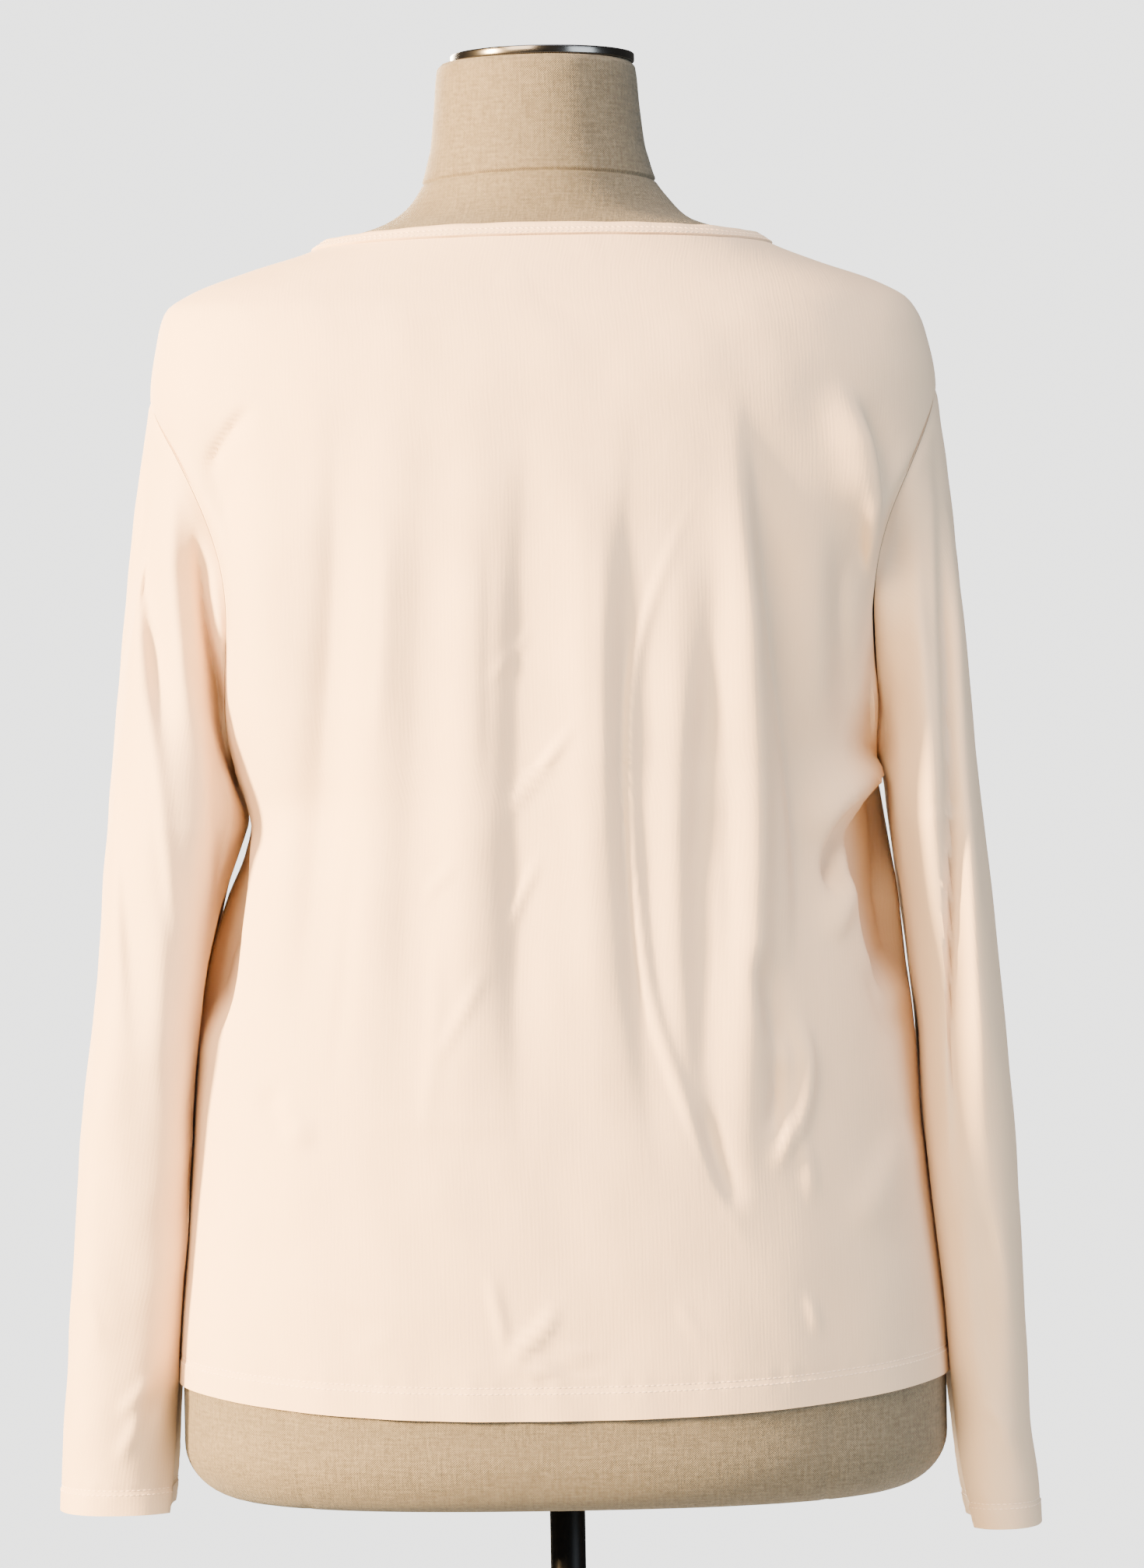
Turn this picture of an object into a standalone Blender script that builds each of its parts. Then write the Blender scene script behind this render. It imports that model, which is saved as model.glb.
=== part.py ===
"""Long-sleeve t-shirt on a limbless dress form, at rest on its stand. Metres, +Z up.

The front of the shirt faces -Y, its back faces +Y, and the wearer's left is at +X. The origin is on the
floor, at the centre of the round base. The body of the shirt is a stack of rings, one for each row of
SHIRT_RINGS, which hold the inner face of the cloth. A point on a ring is found by its angle: 0 at the centre
back, a quarter turn at the left side seam and a half turn at the centre front. The dress form follows the
same rings, drawn in by each row's slack.
"""

from collections import namedtuple
from math import pi, radians

import bmesh
import bpy
import numpy as np

PART_NAME = "Long-sleeve t-shirt on a dress form"

# Cloth and seams
CLOTH = 0.0015
BINDING = 0.0022
SEAM_GAP = 0.00032
SLEEVE_GAP = 0.00076
SLEEVE_CLEAR = 0.0018
FORM_GAP = 0.0005
BINDING_GAP = 0.0006

# Heights of the shirt, from the floor
HEM = 0.863
UNDERARM = 1.195
ARMHOLE_TOP = 1.400
NECK_SEAM = 1.4775
NECK_EDGE = 1.482

# Armhole: how far it opens to each side of the side seam, and how square that opening is
ARMHOLE_SPREAD = radians(33)
ARMHOLE_SQUARENESS = 0.72

# How the sleeves leave the armholes: how far each head stands out at its top, how far the underarm does, and
# how steeply the underarm drops, as parts of one direction
LEFT_PUFF = 0.25
RIGHT_PUFF = 0.03
UNDERARM_PUFF = 0.7
UNDERARM_DROP = 0.8

# Mean radius of a sleeve, which turns an angle around it into a length
SLEEVE_RADIUS = 0.055

# Share of a fold's length, at each end, over which it dies out, and share of a panel's width, at each side,
# over which all folds do
FOLD_FADE = 0.25
SEAM_CALM = 0.07

# Stand
FORM_BOTTOM = 0.800
FORM_CORNER_WIDE = 0.034
FORM_CORNER_HIGH = 0.030
NECK_TOP = 1.580
PLATE_RADIUS = 0.0505
PLATE_THICKNESS = 0.0048
POLE_RADIUS = 0.0097
BASE_RADIUS = 0.190
BASE_THICKNESS = 0.010
SOCKET_RADIUS = 0.021
SOCKET_TOP = 0.060

# Faces around and along each piece
BACK_COLUMNS = 34
FRONT_COLUMNS = 20
BODY_ROWS = 13
ARMHOLE_ROWS = 10
SHOULDER_ROWS = 7
SLEEVE_HEAD_ROWS = 7
SLEEVE_ROWS = 12
CORNER_ROWS = 4
PLATE_STEPS = 36
POLE_STEPS = 24
BASE_STEPS = 48
FINE_STEPS = 240
SHARP_EDGE = radians(70)

# One row for each level of the shirt. left and right are half widths, back and front are depths. A drop
# lowers the centre back or front below the side seam, square is 2 for an ellipse and more for a boxier ring,
# and slack is the room between the cloth and the form at the sides, back and front.
Ring = namedtuple(
    "Ring", "height left right back front back_drop front_drop square slack_side slack_back slack_front"
)
SHIRT_RINGS = (
    Ring(HEM, 0.2095, 0.2095, 0.1400, 0.1370, 0.013, 0.010, 2.5, 0.0009, 0.0012, 0.0012),
    Ring(0.900, 0.2083, 0.2075, 0.1410, 0.1385, 0.006, 0.004, 2.5, 0.0013, 0.0020, 0.0020),
    Ring(0.950, 0.2050, 0.2035, 0.1400, 0.1390, 0.001, 0.001, 2.45, 0.0025, 0.0030, 0.0030),
    Ring(1.000, 0.2018, 0.1970, 0.1380, 0.1365, 0.000, 0.000, 2.4, 0.0035, 0.0060, 0.0040),
    Ring(1.050, 0.1975, 0.1938, 0.1350, 0.1340, 0.000, 0.000, 2.35, 0.0080, 0.0140, 0.0080),
    Ring(1.090, 0.1910, 0.1900, 0.1325, 0.1330, 0.000, 0.000, 2.3, 0.0130, 0.0230, 0.0150),
    Ring(1.125, 0.1805, 0.1865, 0.1305, 0.1340, 0.000, 0.000, 2.3, 0.0150, 0.0300, 0.0220),
    Ring(1.150, 0.1700, 0.1825, 0.1300, 0.1360, 0.000, 0.000, 2.3, 0.0120, 0.0310, 0.0240),
    Ring(1.172, 0.1655, 0.1790, 0.1300, 0.1385, 0.000, 0.000, 2.3, 0.0100, 0.0300, 0.0230),
    Ring(UNDERARM, 0.1735, 0.1760, 0.1300, 0.1415, 0.000, 0.000, 2.3, 0.0120, 0.0270, 0.0180),
    Ring(1.230, 0.1890, 0.1870, 0.1300, 0.1460, 0.000, 0.000, 2.3, 0.0160, 0.0210, 0.0100),
    Ring(1.270, 0.2010, 0.1990, 0.1300, 0.1490, 0.000, 0.000, 2.3, 0.0200, 0.0160, 0.0040),
    Ring(1.320, 0.2095, 0.2080, 0.1285, 0.1450, 0.000, 0.001, 2.3, 0.0200, 0.0110, 0.0040),
    Ring(1.365, 0.2130, 0.2115, 0.1245, 0.1350, 0.001, 0.004, 2.3, 0.0150, 0.0070, 0.0050),
    Ring(ARMHOLE_TOP, 0.2172, 0.2118, 0.1185, 0.1250, 0.003, 0.008, 2.3, 0.0090, 0.0040, 0.0040),
    Ring(1.431, 0.2130, 0.2062, 0.1095, 0.1130, 0.007, 0.014, 2.3, 0.0030, 0.0020, 0.0025),
    Ring(1.446, 0.2085, 0.1985, 0.1020, 0.1040, 0.009, 0.018, 2.3, 0.0010, 0.0010, 0.0015),
    Ring(1.456, 0.1930, 0.1810, 0.0950, 0.0970, 0.009, 0.022, 2.3, 0.0006, 0.0007, 0.0008),
    Ring(1.467, 0.1620, 0.1500, 0.0830, 0.0850, 0.005, 0.025, 2.3, 0.0005, 0.0006, 0.0006),
    Ring(NECK_SEAM, 0.1280, 0.1240, 0.0690, 0.0720, -0.002, 0.023, 2.3, 0.0005, 0.0006, 0.0006),
    Ring(NECK_EDGE, 0.1205, 0.1165, 0.0625, 0.0660, -0.004, 0.021, 2.3, 0.0005, 0.0006, 0.0006),
)

# The bare part of the form above the neckline, up to where its top edge starts to turn in
NECK_RINGS = (
    Ring(1.4935, 0.0870, 0.0800, 0.0585, 0.0620, -0.003, 0.012, 2.1, 0, 0, 0),
    Ring(1.504, 0.0735, 0.0690, 0.0570, 0.0595, -0.002, 0.006, 2.0, 0, 0, 0),
    Ring(1.517, 0.0660, 0.0600, 0.0560, 0.0580, -0.001, 0.002, 2.0, 0, 0, 0),
    Ring(1.532, 0.0625, 0.0560, 0.0550, 0.0565, 0.000, 0.000, 2.0, 0, 0, 0),
    Ring(1.556, 0.0600, 0.0530, 0.0545, 0.0550, 0.000, 0.000, 2.0, 0, 0, 0),
    Ring(1.577, 0.0580, 0.0510, 0.0535, 0.0540, 0.000, 0.000, 2.0, 0, 0, 0),
    Ring(NECK_TOP, 0.0555, 0.0485, 0.0510, 0.0515, 0.000, 0.000, 2.0, 0, 0, 0),
)

# One row for each level of a sleeve's outer face: the distances of its inner and outer walls from the middle
# of the body, its depth from back to front, where the middle of that depth lies, and how square it is.
Tube = namedtuple("Tube", "height inner outer deep middle square")
SLEEVE_LEFT = (
    Tube(1.165, 0.1700, 0.2442, 0.150, 0.002, 2.3),
    Tube(1.125, 0.1830, 0.2476, 0.146, 0.003, 2.4),
    Tube(1.085, 0.1900, 0.2504, 0.142, 0.004, 2.6),
    Tube(1.050, 0.1945, 0.2544, 0.138, 0.005, 2.8),
    Tube(1.015, 0.1975, 0.2592, 0.133, 0.005, 2.8),
    Tube(0.975, 0.1990, 0.2632, 0.126, 0.005, 2.8),
    Tube(0.930, 0.2020, 0.2662, 0.117, 0.005, 2.8),
    Tube(0.890, 0.2060, 0.2698, 0.108, 0.004, 2.6),
    Tube(0.845, 0.2100, 0.2734, 0.097, 0.003, 2.4),
    Tube(0.810, 0.2095, 0.2756, 0.086, 0.002, 2.3),
    Tube(0.793, 0.2080, 0.2762, 0.083, 0.002, 2.3),
)
SLEEVE_RIGHT = (
    Tube(1.165, 0.1835, 0.2325, 0.170, 0.002, 2.3),
    Tube(1.125, 0.1885, 0.2363, 0.168, 0.003, 2.3),
    Tube(1.085, 0.1930, 0.2398, 0.163, 0.004, 2.3),
    Tube(1.050, 0.1965, 0.2424, 0.157, 0.005, 2.5),
    Tube(1.010, 0.1975, 0.2453, 0.149, 0.005, 2.7),
    Tube(0.966, 0.1995, 0.2481, 0.140, 0.005, 2.7),
    Tube(0.923, 0.2035, 0.2498, 0.130, 0.005, 2.7),
    Tube(0.880, 0.2070, 0.2515, 0.119, 0.004, 2.6),
    Tube(0.837, 0.2105, 0.2530, 0.108, 0.003, 2.4),
    Tube(0.803, 0.2125, 0.2569, 0.099, 0.002, 2.3),
    Tube(0.778, 0.2160, 0.2581, 0.092, 0.002, 2.3),
)

# The largest folds of the back and front. height is how far the cloth stands out, or in where it is below
# zero, width is how far the fold reaches to each side, and path is where it runs, as sideways place and
# height.
Fold = namedtuple("Fold", "height width path")
BACK_FOLDS = (
    Fold(-0.009, 0.014, ((0.166, 1.385), (0.180, 1.365), (0.187, 1.330), (0.183, 1.280), (0.174, 1.228))),
    Fold(0.007, 0.021, ((0.155, 1.365), (0.158, 1.300), (0.152, 1.230), (0.150, 1.150), (0.160, 1.080))),
    Fold(-0.011, 0.017, ((0.113, 1.375), (0.115, 1.290), (0.122, 1.220), (0.128, 1.150), (0.138, 1.063))),
    Fold(0.006, 0.019, ((0.088, 1.345), (0.090, 1.250), (0.097, 1.150), (0.105, 1.050))),
    Fold(-0.007, 0.017, ((0.062, 1.344), (0.067, 1.230), (0.074, 1.130), (0.080, 1.021))),
    Fold(0.007, 0.017, ((0.038, 1.330), (0.043, 1.200), (0.045, 1.080), (0.047, 1.010))),
    Fold(-0.012, 0.016, ((0.006, 1.345), (0.015, 1.280), (0.020, 1.200), (0.021, 1.103), (0.017, 1.000))),
    Fold(0.009, 0.015, ((-0.013, 1.330), (-0.012, 1.220), (-0.012, 1.120), (-0.016, 1.020))),
    Fold(-0.010, 0.015, ((-0.043, 1.345), (-0.040, 1.240), (-0.040, 1.140), (-0.050, 1.040),
                         (-0.080, 0.965))),
    Fold(-0.007, 0.013, ((-0.088, 1.275), (-0.078, 1.200), (-0.073, 1.120), (-0.076, 1.039),
                         (-0.088, 0.965))),
    Fold(0.013, 0.016, ((-0.098, 1.365), (-0.101, 1.260), (-0.102, 1.160), (-0.098, 1.070),
                        (-0.096, 0.985))),
    Fold(-0.014, 0.016, ((-0.114, 1.385), (-0.118, 1.310), (-0.126, 1.240), (-0.130, 1.160),
                         (-0.120, 1.050))),
    Fold(0.007, 0.014, ((-0.136, 1.050), (-0.131, 1.010), (-0.114, 0.988), (-0.097, 0.985))),
    Fold(0.010, 0.013, ((-0.158, 1.390), (-0.169, 1.358), (-0.176, 1.320), (-0.180, 1.285))),
    Fold(-0.009, 0.015, ((-0.160, 1.350), (-0.164, 1.300), (-0.161, 1.240), (-0.160, 1.190))),
    Fold(0.010, 0.015, ((-0.172, 1.195), (-0.158, 1.175), (-0.138, 1.158))),
    Fold(-0.011, 0.017, ((-0.168, 1.150), (-0.158, 1.115), (-0.138, 1.085))),
    Fold(0.006, 0.015, ((-0.182, 0.995), (-0.160, 0.945))),
    Fold(-0.007, 0.014, ((0.168, 1.185), (0.143, 1.153))),
)
FRONT_FOLDS = (
    Fold(-0.006, 0.018, ((0.105, 1.230), (0.112, 1.150), (0.125, 1.050))),
    Fold(-0.006, 0.018, ((-0.100, 1.235), (-0.108, 1.150), (-0.122, 1.040))),
    Fold(-0.008, 0.020, ((0.045, 1.240), (0.038, 1.150), (0.034, 1.040))),
    Fold(-0.008, 0.020, ((-0.040, 1.235), (-0.036, 1.140), (-0.030, 1.050))),
    Fold(0.005, 0.018, ((0.003, 1.230), (0.000, 1.140), (0.002, 1.040))),
    Fold(-0.007, 0.014, ((0.165, 1.375), (0.152, 1.300), (0.150, 1.240))),
    Fold(-0.007, 0.014, ((-0.163, 1.375), (-0.150, 1.300), (-0.148, 1.240))),
)

# Folds of a sleeve. Here the path is the length around it from its outer line, positive to the back, and the
# height.
SLEEVE_LEFT_FOLDS = (
    Fold(-0.007, 0.013, ((0.028, 1.360), (0.040, 1.290), (0.058, 1.215), (0.090, 1.150))),
    Fold(-0.004, 0.014, ((-0.030, 1.340), (-0.045, 1.220), (-0.060, 1.080))),
    Fold(0.003, 0.012, ((0.085, 0.870), (0.055, 0.845), (0.030, 0.800))),
)
SLEEVE_RIGHT_FOLDS = (
    Fold(-0.007, 0.012, ((0.030, 1.370), (0.045, 1.250), (0.052, 1.120), (0.056, 0.985))),
    Fold(-0.004, 0.014, ((-0.030, 1.340), (-0.045, 1.220), (-0.060, 1.080))),
    Fold(0.004, 0.014, ((0.015, 1.300), (0.025, 1.150), (0.035, 1.020))),
)


def knot_slopes(places, values):
    """Slopes at the rows of a table that let a curve pass through them with no overshoot."""
    rise = np.diff(values) / np.diff(places)
    slopes = np.concatenate([rise[:1], np.zeros(len(rise) - 1), rise[-1:]])
    same = rise[1:] * rise[:-1] > 0
    slopes[1:-1][same] = 2 * rise[1:][same] * rise[:-1][same] / (rise[1:] + rise[:-1])[same]
    return slopes


def smooth_curve(places, values, wanted):
    """Values of the smooth curve through the rows, at the wanted places."""
    slopes = knot_slopes(places, values)
    row = np.clip(np.searchsorted(places, wanted, side="right") - 1, 0, len(places) - 2)
    width = places[row + 1] - places[row]
    t = (wanted - places[row]) / width
    start = values[row] * (1 + 2 * t) * (1 - t) ** 2 + slopes[row] * width * t * (1 - t) ** 2
    end = values[row + 1] * t**2 * (3 - 2 * t) - slopes[row + 1] * width * t**2 * (1 - t)
    return start + end


def rows_at(table, heights):
    """One row type of arrays, each column of the table read at the given heights."""
    rows = sorted(table)
    places = np.array([row.height for row in rows])
    columns = [smooth_curve(places, np.array(column, float), heights) for column in zip(*rows)]
    return type(rows[0])(*columns)


def on_rings(rings, angles):
    """Points on the rings, one row of angles for each ring."""
    sine, cosine = np.sin(angles), np.cos(angles)
    power = 2 / rings.square[:, None]
    side = np.where(sine > 0, rings.left[:, None], rings.right[:, None])
    depth = np.where(cosine > 0, rings.back[:, None], rings.front[:, None])
    drop = np.where(cosine > 0, rings.back_drop[:, None], rings.front_drop[:, None])
    x = side * np.sign(sine) * np.abs(sine) ** power
    y = depth * np.sign(cosine) * np.abs(cosine) ** power
    return np.stack([x, y, rings.height[:, None] - drop * cosine**2], axis=-1)


def even_angles(rings, start, end, columns):
    """Angles that part each ring into equal lengths of cloth between its start and end angle."""
    fine = start[:, None] + (end - start)[:, None] * np.linspace(0, 1, FINE_STEPS)
    steps = np.linalg.norm(np.diff(on_rings(rings, fine), axis=1), axis=-1)
    lengths = np.pad(np.cumsum(steps, axis=1), ((0, 0), (1, 0)))
    shares = np.linspace(0, 1, columns + 1)
    return np.array([np.interp(shares * row[-1], row, angles) for row, angles in zip(lengths, fine)])


def all_round(rings):
    """Angles of the panels' columns, once round each ring, from the right side seam over the back."""
    quarter = pi / 2 * np.ones(len(rings.height))
    back = even_angles(rings, -quarter, quarter, BACK_COLUMNS)[:, :-1]
    front = even_angles(rings, quarter, 3 * quarter, FRONT_COLUMNS)[:, :-1]
    return np.concatenate([back, front], axis=1)


def even_heights(low, high, rows):
    """Heights between two levels, an equal length of cloth apart along the side and back of the body."""
    fine = np.linspace(low, high, FINE_STEPS)
    rings = rows_at(SHIRT_RINGS, fine)
    side = np.hypot(np.diff(rings.left), np.diff(fine))
    back = np.hypot(np.diff(rings.back), np.diff(fine - rings.back_drop))
    lengths = np.concatenate([[0], np.cumsum(side + back)])
    return np.interp(np.linspace(0, lengths[-1], rows + 1), lengths, fine)


def normals_of(grid, closed=False):
    """Unit normals of a grid of points that face away from its inside."""
    if closed:
        across = np.roll(grid, -1, axis=1) - np.roll(grid, 1, axis=1)
    else:
        across = np.gradient(grid, axis=1)
    normals = np.cross(np.gradient(grid, axis=0), across)
    return normals / np.linalg.norm(normals, axis=-1, keepdims=True)


def smooth_step(value):
    """0 up to 1 with soft ends."""
    value = np.clip(value, 0, 1)
    return value**2 * (3 - 2 * value)


def fold_height(folds, across, up):
    """How far the folds move the cloth at each place, across and up, all in metres."""
    total = np.zeros(across.shape)
    for fold in folds:
        path = np.array(fold.path)
        nearest = np.full(across.shape, np.inf)
        along = np.zeros(across.shape)
        for step, (start, end) in enumerate(zip(path[:-1], path[1:])):
            run = end - start
            t = ((across - start[0]) * run[0] + (up - start[1]) * run[1]) / (run @ run)
            t = np.clip(t, 0, 1)
            gap = np.hypot(across - start[0] - t * run[0], up - start[1] - t * run[1])
            closer = gap < nearest
            nearest = np.where(closer, gap, nearest)
            along = np.where(closer, step + t, along)
        share = along / (len(path) - 1)
        fade = smooth_step(share / FOLD_FADE) * smooth_step((1 - share) / FOLD_FADE)
        total += fold.height * fade * np.exp(-((nearest / fold.width) ** 2))
    return total


def armhole_edge(heights):
    """Angle of the armhole's edge at each height: a quarter turn above and below it, less beside it."""
    share = np.clip((heights - UNDERARM) / (ARMHOLE_TOP - UNDERARM), 0, 1)
    return pi / 2 - ARMHOLE_SPREAD * np.sin(pi * share) ** ARMHOLE_SQUARENESS


def panel_levels():
    """Heights of the rows of a panel, from the hem to the neck seam."""
    body = even_heights(HEM, UNDERARM, BODY_ROWS)
    armhole = even_heights(UNDERARM, ARMHOLE_TOP, ARMHOLE_ROWS)
    shoulder = even_heights(ARMHOLE_TOP, NECK_SEAM, SHOULDER_ROWS)
    return np.concatenate([body, armhole[1:], shoulder[1:]])


def panel_grid(facing, columns, folds):
    """Inner face of the back panel, facing 0, or of the front panel, facing a half turn."""
    levels = panel_levels()
    rings = rows_at(SHIRT_RINGS, levels)
    quarter = pi / 2 * np.ones(len(levels))
    angles = even_angles(rings, facing - quarter, facing + quarter, columns)
    side = np.linspace(-1, 1, columns + 1)
    angles -= side * np.abs(side) * (pi / 2 - armhole_edge(levels))[:, None]
    grid = on_rings(rings, angles)
    slack = slack_at(rings, angles)
    share = np.linspace(0, 1, columns + 1)
    inside = smooth_step(share / SEAM_CALM) * smooth_step((1 - share) / SEAM_CALM)
    height = fold_height(folds, grid[..., 0], grid[..., 2]) * inside
    grid += normals_of(grid) * np.maximum(height, FORM_GAP - slack)[..., None]
    for edge_column, next_column in ((0, 1), (-1, -2)):
        inward = grid[:, next_column] - grid[:, edge_column]
        inward /= np.linalg.norm(inward, axis=-1, keepdims=True)
        grid[:, edge_column] += inward * SEAM_GAP / 2
    return grid


def slack_at(rings, angles):
    """Room between the cloth and the form around each ring."""
    depth = np.where(np.cos(angles) > 0, rings.slack_back[:, None], rings.slack_front[:, None])
    return depth + (rings.slack_side[:, None] - depth) * np.sin(angles) ** 4


def armhole_loops(back, front):
    """Points and outward directions around each armhole, from its top down and round to the top again."""
    low, high = BODY_ROWS, BODY_ROWS + ARMHOLE_ROWS
    loops = {}
    for side, first, second in (("left", (back, -1), (front, 0)), ("right", (front, -1), (back, 0))):
        columns = [(grid[low : high + 1, column][::-1], normals_of(grid)[low : high + 1, column][::-1])
                   for grid, column in (first, second)]
        loop = []
        for one, other in zip(*columns):
            ends = (one[[0, -1]] + other[[0, -1]]) / 2
            loop.append(np.concatenate([ends[:1], one[1:-1], ends[1:], other[-2:0:-1]]))
        loops[side] = (loop[0], loop[1] / np.linalg.norm(loop[1], axis=-1, keepdims=True))
    return loops


def body_side(side, heights, y):
    """How far out the inner face of the body's cloth reaches at each height and each depth y."""
    rings = rows_at(SHIRT_RINGS, heights)
    half = (rings.left if side > 0 else rings.right)[:, None]
    depth = np.where(y > 0, rings.back[:, None], rings.front[:, None])
    square = rings.square[:, None]
    return half * (1 - np.minimum(np.abs(y) / depth, 1) ** square) ** (1 / square)


def sleeve_rings(table, side, heights, columns):
    """Rings of a sleeve's outer face. side is 1 for the left sleeve and -1 for the right one."""
    tubes = rows_at(table, heights)
    angles = 2 * pi * np.arange(columns) / columns
    power = 2 / tubes.square[:, None]
    wide, deep = (tubes.outer - tubes.inner)[:, None] / 2, tubes.deep[:, None] / 2
    x = wide * np.sign(np.cos(angles)) * np.abs(np.cos(angles)) ** power
    y = deep * np.sign(np.sin(angles)) * np.abs(np.sin(angles)) ** power
    x += (tubes.outer + tubes.inner)[:, None] / 2
    y = side * y + tubes.middle[:, None]
    x = np.maximum(x, body_side(side, heights, y) + CLOTH + SLEEVE_CLEAR)
    return np.stack([side * x, y, np.repeat(tubes.height[:, None], columns, 1)], -1)


def sleeve_grid(table, side, loop, folds, puff):
    """Outer face of a sleeve, from the armhole down to the cuff."""
    points, outward = loop
    columns = len(points)
    into = points.mean(axis=0) - points
    into -= outward * np.sum(into * outward, axis=-1, keepdims=True)
    into /= np.linalg.norm(into, axis=-1, keepdims=True)
    start = points + outward * CLOTH + into * SLEEVE_GAP
    heights = np.linspace(table[0].height, table[-1].height, SLEEVE_ROWS + 1)
    tube = sleeve_rings(table, side, heights, columns)
    share = ((start[:, 2] - UNDERARM) / (ARMHOLE_TOP - UNDERARM))[:, None]
    down = np.array([0, 0, -1.0])
    leave = into * share + outward * (UNDERARM_PUFF + (puff - UNDERARM_PUFF) * share)
    leave += down * UNDERARM_DROP * (1 - share)
    leave /= np.linalg.norm(leave, axis=-1, keepdims=True)
    reach = np.linalg.norm(tube[0] - start, axis=-1, keepdims=True) / 3
    rise = tube[0] - tube[1]
    rise /= np.linalg.norm(rise, axis=-1, keepdims=True)
    first, second = start + leave * reach, tube[0] + rise * reach
    steps = np.linspace(0, 1, SLEEVE_HEAD_ROWS + 1)[:-1, None, None]
    head = ((1 - steps) ** 3 * start + 3 * (1 - steps) ** 2 * steps * first
            + 3 * (1 - steps) * steps**2 * second + steps**3 * tube[0])
    grid = np.concatenate([head, tube])
    angles = 2 * pi * np.arange(columns) / columns
    around = np.where(angles > pi, angles - 2 * pi, angles) * side * SLEEVE_RADIUS
    around = np.broadcast_to(around, grid.shape[:2])
    height = fold_height(folds, around, grid[..., 2])
    height[0] = 0
    return grid + normals_of(grid, closed=True) * height[..., None]


def form_grid():
    """Skin of the dress form, from its flat bottom to the top of its neck, one closed ring a row."""
    levels = panel_levels()
    shoulder = BODY_ROWS + ARMHOLE_ROWS
    rings = rows_at(SHIRT_RINGS, np.concatenate([levels[:shoulder:2], levels[shoulder:], [NECK_EDGE]]))
    angles = all_round(rings)
    grid = on_rings(rings, angles)
    grid -= normals_of(grid, closed=True) * slack_at(rings, angles)[..., None]
    hem = grid[0]
    corner = []
    for turn in np.linspace(0, pi / 2, CORNER_ROWS + 1):
        shrink = 1 - FORM_CORNER_WIDE * (1 - np.sin(turn)) / hem[:, :2].max()
        high = FORM_BOTTOM + FORM_CORNER_HIGH * (1 - np.cos(turn))
        corner.append(np.column_stack([hem[:, :2] * shrink, np.full(len(hem), high)]))
    neck = Ring(*(np.array(column, float) for column in zip(*NECK_RINGS)))
    return np.concatenate([corner, grid, on_rings(neck, np.tile(angles[-1], (len(NECK_RINGS), 1)))])


def binding_grid():
    """Inner face of the bound edge, from just above the neck seam up to the open edge."""
    levels = np.array([NECK_SEAM, (NECK_SEAM + NECK_EDGE) / 2, NECK_EDGE])
    rings = rows_at(SHIRT_RINGS, levels)
    grid = on_rings(rings, all_round(rings))
    upward = grid[1] - grid[0]
    grid[0] += upward / np.linalg.norm(upward, axis=-1, keepdims=True) * BINDING_GAP
    return grid


def material(name, colour, roughness, metallic=0.0):
    """A plain finish of one colour, given as red, green and blue from 0 to 1 in linear light."""
    finish = bpy.data.materials.new(name)
    finish.use_nodes = True
    shader = finish.node_tree.nodes["Principled BSDF"]
    shader.inputs["Base Color"].default_value = (*colour, 1)
    shader.inputs["Roughness"].default_value = roughness
    shader.inputs["Metallic"].default_value = metallic
    finish.diffuse_color = (*colour, 1)
    return finish


def add_object(name, mesh, finish):
    """Puts a mesh into the part's collection, smooth except across its sharp edges."""
    mesh.materials.append(finish)
    mesh.shade_smooth()
    mesh.set_sharp_from_angle(angle=SHARP_EDGE)
    piece = bpy.data.objects.new(name, mesh)
    bpy.data.collections[PART_NAME].objects.link(piece)
    return piece


def grid_mesh(name, grid, closed=False, capped=False):
    """Faces between the rows of a grid of points. Where it is closed, the last column meets the first."""
    rows, columns = grid.shape[:2]
    shape = bmesh.new()
    points = [[shape.verts.new(point) for point in row] for row in grid]
    for lower, upper in zip(points[:-1], points[1:]):
        for column in range(columns if closed else columns - 1):
            after = (column + 1) % columns
            shape.faces.new((lower[column], upper[column], upper[after], lower[after]))
    if capped:
        shape.faces.new(points[0])
        shape.faces.new(points[-1][::-1])
    mesh = bpy.data.meshes.new(name)
    shape.to_mesh(mesh)
    shape.free()
    return mesh


def cloth(name, grid, finish, thickness, outward, closed=False):
    """A sewn piece: its grid of points given a wall, outward or inward from it."""
    piece = add_object(name, grid_mesh(name, grid, closed), finish)
    wall = piece.modifiers.new("Cloth wall", "SOLIDIFY")
    wall.thickness = thickness
    wall.offset = 1 if outward else -1
    wall.use_even_offset = True
    wall.use_quality_normals = True
    return piece


def turned(name, profile, finish, steps):
    """A round piece: its profile, from the top down its outer side, turned about the vertical axis."""
    mesh = bpy.data.meshes.new(name)
    mesh.from_pydata([(radius, 0, height) for radius, height in profile],
                     [(index, index + 1) for index in range(len(profile) - 1)], [])
    piece = add_object(name, mesh, finish)
    screw = piece.modifiers.new("Turn", "SCREW")
    screw.steps = screw.render_steps = steps
    screw.use_merge_vertices = True
    screw.merge_threshold = 0.00001
    screw.use_smooth_shade = True
    return piece


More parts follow.
